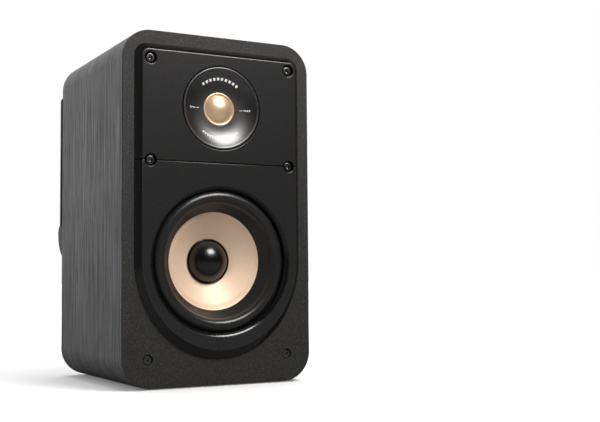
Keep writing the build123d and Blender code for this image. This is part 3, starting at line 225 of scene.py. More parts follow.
def satin_plate():
    """Spark-textured satin black of the raised plates; smoother, and painted near-black as shade, where set
    back from the face.
    """
    finish = Finish("satin_black_plate", (0.019, 0.019, 0.019), 0.28)
    where = finish.place()
    spark = finish.noise(where, 2600.0, 3.0, 0.6)
    slow = finish.noise(where, 14.0, 2.0)
    tone = finish.mix(slow, (0.0135, 0.0135, 0.0137), (0.0165, 0.0164, 0.0165))
    depth = finish.node("SeparateXYZ", "Y", {"Vector": where})
    # Painted shade: where set back from the face (bevels, bores, flares) the base colour drops to near-black;
    # the same mask also smooths the roughness.
    set_back_shade_and_gloss = finish.fit(depth, FACE_Y + 0.15 * MM, FACE_Y + 0.6 * MM, 0.0, 1.0)
    finish.set("Base Color", finish.mix(set_back_shade_and_gloss, tone, (0.004, 0.004, 0.004)))
    polish = finish.math("MULTIPLY", set_back_shade_and_gloss, 0.15)
    finish.set("Roughness", finish.math("SUBTRACT", finish.fit(spark, 0.3, 0.7, 0.25, 0.33), polish))
    finish.set("Normal", finish.bump(spark, 0.00002, 0.7))
    return finish.material


def gloss_black(name, roughness, ior):
    """Moulded gloss black with the faintest waviness."""
    finish = Finish(name, (0.003, 0.003, 0.0031), roughness, IOR=ior)
    where = finish.place()
    slow = finish.noise(where, 60.0, 2.0)
    finish.set("Base Color", finish.mix(slow, (0.0022, 0.0022, 0.0023), (0.0036, 0.0035, 0.0036)))
    fine = finish.noise(where, 1400.0, 2.0)
    finish.set("Roughness", finish.fit(fine, 0.3, 0.7, roughness - 0.03, roughness + 0.03))
    finish.set("Normal", finish.bump(slow, 0.00006, 0.35))
    return finish.material


def rings_about(finish, centre, pitch):
    """0..1 in fine rings about the axis along Y through centre."""
    spot = finish.node("TexCoord", "Object")
    moved = finish.node("VectorMath", "Vector", {0: spot, 1: (-centre.x, 0, -centre.z)}, operation="ADD")
    flat = finish.node("VectorMath", "Vector", {0: moved, 1: (1, 0, 1)}, operation="MULTIPLY")
    radius = finish.node("VectorMath", "Value", {0: flat}, operation="LENGTH")
    wave = finish.math("SINE", finish.math("MULTIPLY", radius, 2 * math.pi / pitch))
    return finish.fit(wave, -1.0, 1.0, 0.0, 1.0)


def spun_gold(name, colour, roughness, centre, pitch, depth, metallic):
    """Gold-anodised sheet, spun, so it has very fine rings and a satin grain."""
    finish = Finish(name, colour, roughness, metallic)
    where = finish.place()
    grain = finish.noise(where, 2400.0, 3.0)
    slow = finish.noise(where, 30.0, 2.0)
    rings = rings_about(finish, centre, pitch)
    dark = tuple(c * 0.93 for c in colour)
    finish.set("Base Color", finish.mix(slow, dark, colour))
    finish.set("Roughness", finish.fit(grain, 0.3, 0.7, roughness - 0.05, roughness + 0.05))
    height = finish.math("ADD", rings, finish.math("MULTIPLY", grain, 0.6))
    finish.set("Normal", finish.bump(height, depth, 0.6))
    return finish.material


def wound_wire(name, colour, turns):
    """Enamelled wire laid in close turns, seen as fine slanting ridges with painted shade in the grooves
    between them.
    """
    finish = Finish(name, colour, 0.32, 1.0)
    values = {"Vector": finish.place(), "Scale": turns, "Distortion": 0.3}
    wave = finish.node("TexWave", "Fac", values, wave_type="BANDS", bands_direction="DIAGONAL")
    # Painted shade: the colour follows the bump's bands, darker in the grooves between turns.
    finish.set("Base Color", finish.mix(wave, tuple(c * 0.45 for c in colour), colour))
    finish.set("Normal", finish.bump(wave, 0.0002))
    return finish.material


def fibre(name, colour, scale, depth):
    """Cloth or loose fibre: crossed threads with noise, painted darker as shade where they sit low."""
    finish = Finish(name, colour, 0.9, Sheen_Weight=0.3)
    where = finish.place()
    weave = {"Vector": where, "Scale": scale, "Distortion": 2.0, "Detail": 2.0}
    threads = finish.node("TexWave", "Fac", weave)
    fuzz = finish.noise(where, scale * 2, 4.0)
    mixed = finish.math("MULTIPLY", threads, fuzz)
    # Partly painted shade: the colour follows the bump, darker where threads and fuzz sit low; the fuzz also
    # varies the tone at random.
    finish.set("Base Color", finish.mix(mixed, tuple(c * 0.6 for c in colour), colour))
    finish.set("Normal", finish.bump(mixed, depth))
    return finish.material


GOLD = (0.85, 0.635, 0.465)
FINISHES = {
    "vinyl": black_ash(),
    "facing": leather_grain(),
    "front_plate": satin_plate(),
    "mdf": grained("black_painted_board", (0.03, 0.03, 0.031), 0.6, grain=600, depth=0.00008),
    "black_screw": grained("black_oxide_steel", (0.17, 0.17, 0.17), 0.27, 1.0, grain=3000, depth=0.00001),
    "rubber": grained("butyl_rubber", (0.014, 0.014, 0.0145), 0.30, grain=2200, depth=0.00001),
    "waveguide": gloss_black("waveguide_black", 0.34, 2.0),
    "gold_metal": spun_gold("spun_gold_cone", GOLD, 0.50, WOOFER, 0.0005, 0.00002, 0.2),
    "gold_dome": spun_gold("satin_gold_dome", (0.93, 0.66, 0.45), 0.36, TWEETER, 0.0004, 0.00001, 0.7),
    "dust_cap": gloss_black("gloss_dust_cap", 0.25, 1.6),
    "foam_gasket": grained("closed_cell_foam", (0.04, 0.04, 0.04), 0.9, grain=1500, depth=0.0003),
    "ferrite": grained("ferrite", (0.05, 0.05, 0.055), 0.7, grain=700, depth=0.0001),
    "zinc_steel": grained("zinc_plated_steel", (0.62, 0.61, 0.57), 0.34, 1.0, grain=1200, depth=0.00003),
    "painted_steel": grained("painted_steel", (0.02, 0.02, 0.02), 0.4, 0.2, grain=900, depth=0.00005),
    "copper": wound_wire("enamelled_copper", (0.78, 0.36, 0.18), 700.0),
    "former": grained("former_foil", (0.75, 0.75, 0.75), 0.4, 1.0),
    "cloth": fibre("spider_cloth", (0.62, 0.43, 0.2), 900.0, 0.0002),
    "wadding": fibre("polyester_wadding", (0.8, 0.8, 0.78), 260.0, 0.002),
    "board": grained("circuit_board", (0.05, 0.16, 0.07), 0.35, grain=500, depth=0.00003),
    "capacitor": grained("capacitor_film", (0.5, 0.24, 0.05), 0.25, grain=400, depth=0.00003),
    "cement": grained("cement_resistor", (0.76, 0.74, 0.7), 0.85, grain=800, depth=0.0001),
    "nylon": grained("nylon", (0.8, 0.78, 0.72), 0.45),
    "black_plastic": grained("textured_black_abs", (0.022, 0.022, 0.023), 0.5, grain=1300, depth=0.00008),
    "gold_plate": grained("gold_plate", (0.9, 0.66, 0.3), 0.2, 1.0, grain=1200, depth=0.00001),
    "nut_positive": grained("gold_plate_positive", (0.9, 0.66, 0.3), 0.2, 1.0, grain=1200, depth=0.00001),
    "nut_negative": grained("gold_plate_negative", (0.9, 0.66, 0.3), 0.2, 1.0, grain=1200, depth=0.00001),
    "brass": grained("turned_brass", (0.78, 0.58, 0.26), 0.3, 1.0),
    "wire": grained("wire_insulation", (0.5, 0.02, 0.02), 0.4),
    "terminal_strip": grained("phenolic_strip", (0.3, 0.14, 0.06), 0.5),
}
PRINT = grained("pale_print", (0.82, 0.82, 0.80), 0.5, grain=2500, depth=0.00001, contrast=0.05)

# ---- the CAD nodes that stay -----------------------------

BODY_OF = {node: body for body, members in frame["record"]["behaviour"]["bodies"].items() for node in members}
SLOT_OF = {part["node"]: part["material_slot"] for part in frame["record"]["subparts"]}
for node, slot in SLOT_OF.items():
    shown = frame["nodes"][node]
    shown.data.materials.clear()
    shown.data.materials.append(FINISHES[slot])

# ---- mesh helpers ----------------------------------------


def add_object(name, mesh, material, body, replaced=()):
    made = bpy.data.objects.new(name, mesh)
    bpy.context.scene.collection.objects.link(made)
    mesh.materials.append(material)
    if body:
        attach(made, body)
    if replaced:
        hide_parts(*replaced)
    return made


def stand_in(name, mesh, node, rides=True):
    """Adds a piece in place of a CAD node, with its material, and on its body unless it is to be blended."""
    slot = SLOT_OF[node]
    return add_object(name, mesh, FINISHES[slot], BODY_OF[node] if rides else None, [node])


SMOOTH_BELOW = 35.0


def smooth(mesh, sharp_degrees):
    """Smooth shading that stays sharp over edges steeper than sharp_degrees."""
    work = bmesh.new()
    work.from_mesh(mesh)
    limit = math.radians(sharp_degrees)
    for face in work.faces:
        face.smooth = True
    for edge in work.edges:
        edge.smooth = not edge.is_boundary and edge.calc_face_angle(0.0) < limit
    work.to_mesh(mesh)
    work.free()


def finished_mesh(work, name, sharp_degrees=None):
    """Turns a bmesh into a mesh with its faces outwards, smooth up to sharp_degrees if that is given."""
    bmesh.ops.recalc_face_normals(work, faces=work.faces)
    mesh = bpy.data.meshes.new(name)
    work.to_mesh(mesh)
    work.free()
    if sharp_degrees is not None:
        smooth(mesh, sharp_degrees)
    return mesh


def bridge(work, rows, closed=False):
    """Faces between each row of vertices and the next, and from the last to the first if closed."""
    following = rows[1:] + rows[:1] if closed else rows[1:]
    for a, b in zip(rows, following):
        for i in range(len(a)):
            j = (i + 1) % len(a)
            work.faces.new((a[i], a[j], b[j], b[i]))


def weigh_normals(mesh, sharp_degrees):
    """Gives each corner the area-weighted normal of the smooth faces round it, so flat faces stay flat."""
    work = bmesh.new()
    work.from_mesh(mesh)
    limit = math.cos(math.radians(sharp_degrees))
    areas = [face.calc_area() for face in work.faces]
    normals = []
    for face in work.faces:
        for vert in face.verts:
            total = Vector()
            for other in vert.link_faces:
                if other.normal.dot(face.normal) > limit:
                    total += other.normal * areas[other.index]
            normals.append(total.normalized() if total.length > 0 else face.normal.copy())
    work.free()
    mesh.normals_split_custom_set(normals)


ON_AXIS = 1e-6


def turned_mesh(name, profile, centre, segments=160):
    """A closed profile of (radius, depth) in mm, turned about the Y axis through centre, where depth is 0."""
    work = bmesh.new()
    rows = []
    for radius, depth in profile:
        if radius < ON_AXIS:
            rows.append([work.verts.new((centre.x, centre.y + depth * MM, centre.z))])
            continue
        row = []
        for i in range(segments):
            angle = 2 * math.pi * i / segments
            x = centre.x + radius * MM * math.sin(angle)
            z = centre.z + radius * MM * math.cos(angle)
            row.append(work.verts.new((x, centre.y + depth * MM, z)))
        rows.append(row)
    for a, b in zip(rows, rows[1:] + rows[:1]):
        for i in range(segments):
            j = (i + 1) % segments
            corners = [a[i % len(a)], a[j % len(a)], b[j % len(b)], b[i % len(b)]]
            unique = list(dict.fromkeys(corners))
            if len(unique) > 2:
                work.faces.new(unique)
    return finished_mesh(work, name, SMOOTH_BELOW)


def rounded(a, corner, b, steps=4):
    """A quadratic round from a to b that cuts corner off."""
    points = []
    for i in range(steps + 1):
        t = i / steps
        weights = ((1 - t) ** 2, 2 * t * (1 - t), t * t)
        points.append(tuple(weights[0] * a[k] + weights[1] * corner[k] + weights[2] * b[k] for k in (0, 1)))
    return points


def placed(x, depth, z):
    """A point in metres from mm across, mm behind the baffle's face, and mm above the shelf."""
    return Vector((x * MM, BAFFLE_Y + depth * MM, z * MM))


def looped_mesh(name, loops):
    """A closed mesh between a front and a back cap.

    Each loop is a list of rows of (x, depth, z) points in mm, from its front edge to its back edge. The
    first loop is the outside and the others are holes.
    """
    work = bmesh.new()
    made = [[[work.verts.new(placed(*point)) for point in row] for row in rows] for rows in loops]
    for rows in made:
        bridge(work, rows)
    for end in (0, -1):
        rims = [rows[end] for rows in made]
        corners = [vert for rim in rims for vert in rim]
        flat = [[Vector((vert.co.x, vert.co.z, 0)) for vert in rim] for rim in rims]
        for triangle in tessellate_polygon(flat):
            work.faces.new([corners[k] for k in triangle])
    return finished_mesh(work, name, SMOOTH_BELOW)


def circle_rows(profile, x, z, steps=64):
    """Rows for a round hole or pin from (radius, depth) pairs in mm."""
    rows = []
    for radius, depth in profile:
        angles = [2 * math.pi * i / steps for i in range(steps)]
        rows.append([(x + radius * math.cos(a), depth, z + radius * math.sin(a)) for a in angles])
    return rows


def smoothstep(value, low, high):
    t = min(1.0, max(0.0, (value - low) / (high - low)))
    return t * t * (3 - 2 * t)


def blend_round(piece, still, moving, centre, outer, inner):
    """Lets a round edge follow its two bodies by radius: still at outer mm, moving at inner mm."""
    reach = Vector(((outer + inner) / 2 * MM, 0, 0))
    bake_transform(piece, still, moving, start=centre + reach, end=centre)
    weights = piece.data.attributes["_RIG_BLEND"].data
    for vert, weight in zip(piece.data.vertices, weights):
        away = vert.co - centre
        radius = math.hypot(away.x, away.z) / MM
        weight.value = 1.0 - smoothstep(radius, inner, outer)


# ---- cabinet skin ----------------------------------------

SKIN_LOW, SKIN_HIGH = (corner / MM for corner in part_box("vinyl_wrap"))
CABINET_HALF = SKIN_HIGH.x
CABINET_BASE, CABINET_TOP = SKIN_LOW.z, SKIN_HIGH.z
CABINET_DEPTH = (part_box("vinyl_wrap")[1].y - BAFFLE_Y) / MM
CORNER = 25.0
FACING = 0.8
WRAP = 0.5


def cabinet_outline(inset, depth):
    """One row of the cabinet's rounded outline, from the middle of its bottom edge."""
    corner_steps = 28
    half, low, high = CABINET_HALF - inset, CABINET_BASE + inset, CABINET_TOP - inset
    radius = CORNER - inset
    row = [(0.0, depth, low)]
    for x_side, z_side, first in ((1, low, -90), (1, high, 0), (-1, high, 90), (-1, low, 180)):
        middle_x = x_side * (half - radius)
        middle_z = z_side + (radius if z_side == low else -radius)
        for i in range(corner_steps + 1):
            a = math.radians(first + 90 * i / corner_steps)
            row.append((middle_x + radius * math.cos(a), depth, middle_z + radius * math.sin(a)))
    return row


def vinyl_wrap():
    """The wrapped skin as a closed tube. U runs round the cabinet and V from front to back, in metres."""
    soft, fold = 0.3, WRAP * 0.8
    front, back = FACING, CABINET_DEPTH
    profile = [(WRAP, front + 0.1), (soft, front), *rounded((soft, front), (0, front), (0, front + soft))[1:]]
    profile += [*rounded((0, back - fold), (0, back), (fold, back)), (WRAP, back)]
    rows = [cabinet_outline(inset, depth) for inset, depth in profile]
    work = bmesh.new()
    verts = [[work.verts.new(placed(*point)) for point in row] for row in rows]
    uv = work.loops.layers.uv.new("grain")
    outline = rows[3]
    along = [0.0]
    for a, b in zip(outline, outline[1:] + outline[:1]):
        along.append(along[-1] + math.dist(a, b) * MM)
    count = len(outline)
    across = [0.0]
    for a, b in zip(profile, profile[1:] + profile[:1]):
        across.append(across[-1] + math.dist(a, b) * MM)
    for k in range(len(rows)):
        a, b = verts[k], verts[(k + 1) % len(rows)]
        for i in range(count):
            j = (i + 1) % count
            face = work.faces.new((a[i], a[j], b[j], b[i]))
            places = ((i, k), (i + 1, k), (i + 1, k + 1), (i, k + 1))
            for loop, (u, v) in zip(face.loops, places):
                loop[uv].uv = (along[u], across[v])
    mesh = finished_mesh(work, "vinyl_wrap_skin", SMOOTH_BELOW)
    stand_in("vinyl_wrap_skin", mesh, "vinyl_wrap")


# ---- front plates ----------------------------------------

PLATE_HALF = 76.0
PLATE_TOP = 284.3
PLATE_BOTTOM = 21.8
PLATE_ARC_Z = 106.0
PLATE_CORNER = 11.0
BEVEL_SIDE, BEVEL_TOP, BEVEL_BOTTOM = 5.2, 5.9, 8.4
SPLIT_Z = 186.8
SPLIT_HALF_GAP = 0.35
FACE = -RAISE / MM
EDGE_START = 0.89
EDGE_REACH = 0.8
SPLIT_ROUND = 0.8
SUPPORT = 0.06
SCREW_X = 63.5
PLATE_SCREW_Z = 271.2
BAFFLE_SCREW_Z = 24.3
PLATE_SCREW_HOLE = 5.1
BAFFLE_SCREW_HOLE = 4.3
SCREW_SEAT = -1.0
BAFFLE_SCREW_SEAT = 4.6
SHANK_HOLE = 2.1
CONTACT_GAP = 0.35


def plate_row(upper, bevel, extra, split_extra, notch, depth):
    """One row of a plate's outline, where bevel goes from 0 at the foot to 1 at the face.

    extra is a further inset of the outer edge, split_extra one of the parting edge, and notch is the
    radius of the screw recesses on the parting edge.
    """
    half = PLATE_HALF - BEVEL_SIDE * bevel - extra
    top = PLATE_TOP - BEVEL_TOP * bevel - extra
    bottom = PLATE_BOTTOM + BEVEL_BOTTOM * bevel + extra
    corner = PLATE_CORNER - BEVEL_SIDE * bevel - extra
    side = 1 if upper else -1
    gap = SPLIT_HALF_GAP + split_extra
    edge_z = SPLIT_Z + side * gap
    lean = math.degrees(math.asin(gap / notch))
    steps = 24
    row = [(-half, depth, edge_z)]
    for middle_x in (-SCREW_X, SCREW_X):
        for i in range(steps + 1):
            a = math.radians(180 - lean + (2 * lean - 180) * i / steps)
            row.append((middle_x + notch * math.cos(a), depth, SPLIT_Z + side * notch * math.sin(a)))
    row.append((half, depth, edge_z))
    if upper:
        for middle_x, first in ((half - corner, 0), (corner - half, 90)):
            for i in range(steps + 1):
                a = math.radians(first + 90 * i / steps)
                row.append((middle_x + corner * math.cos(a), depth, top - corner + corner * math.sin(a)))
        return row
    arc_steps = 128
    for i in range(arc_steps + 1):
        a = math.pi * i / arc_steps
        row.append((half * math.cos(a), depth, PLATE_ARC_Z - (PLATE_ARC_Z - bottom) * math.sin(a)))
    return row


def plate_rows(upper):
    """Rows from the face, over its rounded edge and down the bevel, to a fine gap above the facing."""
    hole = PLATE_SCREW_HOLE
    crest = SPLIT_ROUND + SUPPORT
    rows = [plate_row(upper, 1, EDGE_REACH + SUPPORT, crest, hole + crest, FACE)]
    steps = 6
    for i in range(steps + 1):
        u = 1 - i / steps
        bevel = EDGE_START * (1 - u) ** 2 + 2 * u * (1 - u) + u * u
        edge, split = EDGE_REACH * u * u, SPLIT_ROUND * u * u
        rows.append(plate_row(upper, bevel, edge, split, hole + split, FACE * bevel))
    seat = SCREW_SEAT / FACE
    foot = -CONTACT_GAP / FACE
    rows.append(plate_row(upper, seat, 0, 0, hole, SCREW_SEAT))
    rows.append(plate_row(upper, seat, 0, 0, SHANK_HOLE, SCREW_SEAT))
    rows.append(plate_row(upper, foot, 0, 0, SHANK_HOLE, -CONTACT_GAP))
    rows.append(plate_row(upper, foot, 2 * CONTACT_GAP, 0, SHANK_HOLE, -CONTACT_GAP))
    rows.append(plate_row(upper, foot, 2 * CONTACT_GAP, 0, SHANK_HOLE, 0))
    return rows


def hole_profile(radius, seat=None):
    """(radius, depth) pairs of a round-edged hole through a plate, with a seat for a screw head if asked."""
    edge = rounded((radius + SPLIT_ROUND, FACE), (radius, FACE), (radius, FACE + SPLIT_ROUND))
    profile = [(radius + SPLIT_ROUND + SUPPORT, FACE), *edge]
    if seat is None:
        return profile + [(radius, 0)]
    return profile + [(radius, seat), (SHANK_HOLE, seat), (SHANK_HOLE, 0)]


WAVEGUIDE_HOLE = 35.7
FLARE_RIM = 60.0
FLARE_ROUND = 5.3


def front_plates():
    screw_profile = hole_profile(PLATE_SCREW_HOLE, SCREW_SEAT)
    screw_holes = [circle_rows(screw_profile, side * SCREW_X, PLATE_SCREW_Z) for side in (-1, 1)]
    tweeter_hole = circle_rows(hole_profile(WAVEGUIDE_HOLE), 0, TWEETER.z / MM, 192)
    upper = looped_mesh("upper_plate", [plate_rows(True), tweeter_hole, *screw_holes])
    stand_in("upper_plate", upper, "upper_front_plate")

    lip = FLARE_RIM + FLARE_ROUND
    flare = [(lip + SUPPORT, FACE)]
    steps = 14
    for i in range(steps + 1):
        a = math.pi / 2 * i / steps
        flare.append((lip - FLARE_ROUND * math.sin(a), FACE + FLARE_ROUND * (1 - math.cos(a))))
    flare += [(FLARE_RIM, 0)]
    lower = looped_mesh("lower_plate", [plate_rows(False), circle_rows(flare, 0, WOOFER.z / MM, 224)])
    stand_in("lower_plate", lower, "lower_front_plate")


def leather_facing():
    """The grained facing: round-edged outside, open under the plates, with a hole for each of its screws."""
    soft = 0.55
    seam = 0.2
    outer = [(soft + SUPPORT, 0), *rounded((soft, 0), (0, 0), (0, soft)), (0, FACING - seam), (seam, FACING)]
    outer_rows = [cabinet_outline(inset, depth) for inset, depth in outer]
    under = 4.0
    window = []
    for depth in (0, FACING):
        half, top = PLATE_HALF - under, PLATE_TOP - under
        row = [(half, depth, top), (-half, depth, top), (-half, depth, PLATE_ARC_Z)]
        steps = 64
        drop = PLATE_ARC_Z - PLATE_BOTTOM - under
        for i in range(1, steps):
            a = math.pi * (1 + i / steps)
            row.append((half * math.cos(a), depth, PLATE_ARC_Z + drop * math.sin(a)))
        row.append((half, depth, PLATE_ARC_Z))
        window.append(row)
    rim = 0.35
    profile = [(BAFFLE_SCREW_HOLE + rim + SUPPORT, 0)]
    profile += rounded((BAFFLE_SCREW_HOLE + rim, 0), (BAFFLE_SCREW_HOLE, 0), (BAFFLE_SCREW_HOLE, rim))
    profile += [(BAFFLE_SCREW_HOLE, FACING)]
    holes = [circle_rows(profile, side * SCREW_X, BAFFLE_SCREW_Z) for side in (-1, 1)]
    mesh = looped_mesh("grained_facing", [outer_rows, window, *holes])
    stand_in("grained_facing", mesh, "baffle_facing")


# ---- screws ----------------------------------------------

HEAD_RADIUS = 3.5
HEAD_HEIGHT = 3.4
SHANK_RADIUS = 2.0
SCREW_LENGTH = 13.0
HEX_APOTHEM = 1.65
HEX_DEPTH = 2.2
KNURL = 0.12


def socket_screw(work, x, z, seat):
    """A socket-head screw: knurled head with a round edge, hexagon socket, plain shank."""
    steps = 72
    front = seat - HEAD_HEIGHT
    soft = 0.45
    floor = front + HEX_DEPTH
    profile = [(HEX_APOTHEM * 0.5, floor + 0.4, None), (HEX_APOTHEM, floor, "hexagon")]
    profile += [(HEX_APOTHEM, front + 0.2, "hexagon"), (HEX_APOTHEM + 0.2, front, "hexagon")]
    edge = rounded((HEAD_RADIUS - soft, front), (HEAD_RADIUS, front), (HEAD_RADIUS, front + soft))
    profile += [(r, depth, None) for r, depth in edge]
    profile += [(HEAD_RADIUS, front + soft + 0.1, "knurl"), (HEAD_RADIUS, seat - 0.3, "knurl")]
    profile += [(HEAD_RADIUS - 0.2, seat, None), (SHANK_RADIUS, seat, None)]
    tip = seat + SCREW_LENGTH
    profile += [(SHANK_RADIUS, tip - 0.5, None), (SHANK_RADIUS - 0.5, tip, None)]
    rows = []
    for radius, depth, kind in profile:
        row = []
        for i in range(steps):
            a = 2 * math.pi * i / steps
            reach = radius
            if kind == "hexagon":
                reach = radius / math.cos((a % (math.pi / 3)) - math.pi / 6)
            elif kind == "knurl":
                reach = radius - KNURL * (i % 2)
            row.append(work.verts.new(placed(x + reach * math.sin(a), depth, z + reach * math.cos(a))))
        rows.append(row)
    bridge(work, rows)
    work.faces.new(rows[0])
    work.faces.new(rows[-1])


def front_screws():
    seats = [(side * SCREW_X, z, SCREW_SEAT) for z in (PLATE_SCREW_Z, SPLIT_Z) for side in (-1, 1)]
    seats += [(side * SCREW_X, BAFFLE_SCREW_Z, BAFFLE_SCREW_SEAT) for side in (-1, 1)]
    work = bmesh.new()
    for x, z, seat in seats:
        socket_screw(work, x, z, seat)
    stand_in("socket_screws", finished_mesh(work, "socket_screws", 30), "front_screws")


# ---- tweeter ---------------------------------------------

WAVEGUIDE_RIM = 35.2
RIM_ROUND = 0.9
FLANGE_RADIUS, FLANGE_BACK = 39.0, 3.2
SEAT_RADIUS, SEAT_DEPTH = 29.5, 1.0
THROAT = (14.6, -0.2)
DISH_MIDDLE = (26.5, -2.55)
DISH_EDGE = (WAVEGUIDE_RIM - 2 * RIM_ROUND, FACE)
DOME_RADIUS = 12.3
DOME_HEIGHT = 4.8
DOME_EDGE = 0.9
BEAD_INNER, BEAD_OUTER = 12.4, 14.45
BEAD_HEIGHT = 0.95
RING_RADIUS, RING_FRONT, RING_BACK = 28.0, 1.0, 1.4


def arc_through(a, b, c, steps):
    """Points on the circle through a, b and c, from a to c."""
    ax, ay, bx, by, cx, cy = *a, *b, *c
    d = 2 * (ax * (by - cy) + bx * (cy - ay) + cx * (ay - by))
    aa, bb, cc = ax * ax + ay * ay, bx * bx + by * by, cx * cx + cy * cy
    x = (aa * (by - cy) + bb * (cy - ay) + cc * (ay - by)) / d
    y = (aa * (cx - bx) + bb * (ax - cx) + cc * (bx - ax)) / d
    radius = math.hypot(ax - x, ay - y)
    first, last = math.atan2(ay - y, ax - x), math.atan2(cy - y, cx - x)
    turn = (last - first + math.pi) % (2 * math.pi) - math.pi
    angles = [first + turn * i / steps for i in range(steps + 1)]
    return [(x + radius * math.cos(t), y + radius * math.sin(t)) for t in angles]


DISH = arc_through(THROAT, DISH_MIDDLE, DISH_EDGE, 28)


def dish_depth(radius):
    for a, b in zip(DISH, DISH[1:]):
        if a[0] <= radius <= b[0]:
            return a[1] + (b[1] - a[1]) * (radius - a[0]) / (b[0] - a[0])
    return DISH_EDGE[1]


def waveguide():
    rim_start, rim_end = (WAVEGUIDE_RIM - RIM_ROUND, FACE), (WAVEGUIDE_RIM, FACE + RIM_ROUND)
    rim = rounded(rim_start, (WAVEGUIDE_RIM, FACE), rim_end, 8)
    back = [(WAVEGUIDE_RIM, 0), (FLANGE_RADIUS, 0), (FLANGE_RADIUS, FLANGE_BACK), (SEAT_RADIUS, FLANGE_BACK)]
    back += [(SEAT_RADIUS, SEAT_DEPTH), (THROAT[0], SEAT_DEPTH), (THROAT[0] - 0.2, 0.4)]
    mesh = turned_mesh("dished_waveguide", [*DISH, *rim, *back], TWEETER, 224)
    stand_in("dished_waveguide", mesh, "tweeter_waveguide")


DASH_STEP = 1.5
DASH_DEPTHS = (0.01, -0.04)
DASH_FILL = 0.56


def dash(work, inner, outer, start, end):
    """A thin printed dash on the dish, between two radii in mm and two angles in degrees from the top."""
    steps = max(2, round(abs(end - start) / DASH_STEP))
    layers = []
    for lift in DASH_DEPTHS:
        layer = []
        for i in range(steps + 1):
            a = math.radians(start + (end - start) * i / steps)
            ends = []
            for radius in (inner, outer):
                spot = Vector((math.sin(a) * radius, dish_depth(radius) + lift, math.cos(a) * radius))
                ends.append(work.verts.new(TWEETER + spot * MM))
            layer.append(ends)
        layers.append(layer)
    low, high = layers
    for i in range(steps):
        work.faces.new((high[i][0], high[i][1], high[i + 1][1], high[i + 1][0]))
        work.faces.new((low[i][0], low[i + 1][0], low[i + 1][1], low[i][1]))
        for side in (0, 1):
            work.faces.new((low[i][side], low[i + 1][side], high[i + 1][side], high[i][side]))
    for i in (0, steps):
        work.faces.new((low[i][0], low[i][1], high[i][1], high[i][0]))


def waveguide_print():
    """Plain marks in the dish: an arc of even dashes above and below, and a scale mark at each side."""
    work = bmesh.new()
    for middle, count, reach, inner, outer in ((0, 10, 41, 24.4, 26.6), (180, 15, 40, 24.4, 26.2)):
        pitch = 2 * reach / count
        for i in range(count):
            start = middle - reach + pitch * (i + (1 - DASH_FILL) / 2)
            dash(work, inner, outer, start, start + pitch * DASH_FILL)
    for middle in (90, 270):
        dash(work, 19.0, 21.2, middle - 0.6, middle + 0.6)
        for i in range(4):
            dash(work, 22.6 + 1.5 * i, 23.3 + 1.5 * i, middle - 1.5, middle + 1.5)
    add_object("waveguide_marks", finished_mesh(work, "waveguide_marks"), PRINT, "cabinet")


def roll_curve(inner, outer, base, height, steps=40):
    """Half an ellipse from the outer to the inner radius, bulging forwards."""
    middle, reach = (outer + inner) / 2, (outer - inner) / 2
    angles = [math.pi * i / steps for i in range(steps + 1)]
    return [(middle + reach * math.cos(a), base - height * math.sin(a)) for a in angles]


def cap_curve(radius, height, edge, steps):
    """A spherical cap's (radius, depth) profile from its edge to its middle."""
    ball = (radius ** 2 + height ** 2) / (2 * height)
    widest = math.asin(radius / ball)
    centre = edge - height + ball
    angles = [widest * (1 - i / steps) for i in range(steps + 1)]
    return [(ball * math.sin(a), centre - ball * math.cos(a)) for a in angles]


def tweeter():
    sheet = 0.3
    front = cap_curve(DOME_RADIUS, DOME_HEIGHT, DOME_EDGE, 28)
    back = [(r * (1 - sheet / DOME_RADIUS), depth + sheet) for r, depth in reversed(front)]
    mesh = turned_mesh("formed_dome", [*front, *back], TWEETER)
    stand_in("formed_dome", mesh, "tweeter_dome")
    ring = [(RING_RADIUS, RING_FRONT), (BEAD_OUTER, RING_FRONT)]
    ring += roll_curve(BEAD_INNER, BEAD_OUTER, DOME_EDGE, BEAD_HEIGHT, 24)
    ring += [(BEAD_INNER + 0.2, DOME_EDGE + 0.25), (BEAD_OUTER - 0.2, RING_BACK), (RING_RADIUS, RING_BACK)]
    mesh = turned_mesh("dome_ring", ring, TWEETER)
    piece = stand_in("dome_ring", mesh, "tweeter_surround", rides=False)
    blend_round(piece, "cabinet", "tweeter_diaphragm", TWEETER, BEAD_OUTER, BEAD_INNER)
    waveguide()
    waveguide_print()


# ---- woofer ----------------------------------------------

ROLL_OUTER, ROLL_INNER = 59.3, 48.7
ROLL_HEIGHT = 5.4
SURROUND_Y = 1.8
SURROUND_RIM = 63.0
RUBBER = 0.8
CONE_RIM = (48.3, 4.1)
CONE_EDGE = (41.6, 10.8)
CONE_MIDDLE = (30.5, 18.9)
CONE_FOOT = (19.3, 24.95)
CONE_SHEET = 0.7
GROOVE_DEPTH = 0.28
CAP_EDGE = (19.2, 24.8)
CAP_HEIGHT = 12.0
CAP_RIM = 1.1
CAP_STEP = 0.7
CAP_SHEET = 0.8
NECK = (12.75, 30.0)


def woofer_surround():
    edge, edge_y = CONE_EDGE
    front = [(SURROUND_RIM, SURROUND_Y), (ROLL_OUTER + 0.5, SURROUND_Y)]
    front += roll_curve(ROLL_INNER, ROLL_OUTER, SURROUND_Y, ROLL_HEIGHT)[1:-1]
    heel = (ROLL_INNER + 0.15, SURROUND_Y - 1.2), (ROLL_INNER - 0.1, SURROUND_Y + 0.4)
    front += rounded(*heel, (ROLL_INNER - 0.9, SURROUND_Y + 1.3))
    front += [(edge + 0.9, edge_y - 1.15)]
    front += rounded((edge + 0.4, edge_y - 0.6), CONE_EDGE, (edge + 0.15, edge_y + 0.3))
    inner, outer, behind = ROLL_INNER + RUBBER, ROLL_OUTER - RUBBER, SURROUND_Y + RUBBER
    back = [(inner, behind), *reversed(roll_curve(inner, outer, SURROUND_Y, ROLL_HEIGHT - RUBBER, 20))]
    back += [(outer, behind), (SURROUND_RIM, behind)]
    mesh = turned_mesh("rubber_edge", [*front, *back], WOOFER, 256)
    piece = stand_in("rubber_edge", mesh, "woofer_surround", rides=False)
    blend_round(piece, "cabinet", "woofer_moving", WOOFER, ROLL_OUTER, ROLL_INNER)


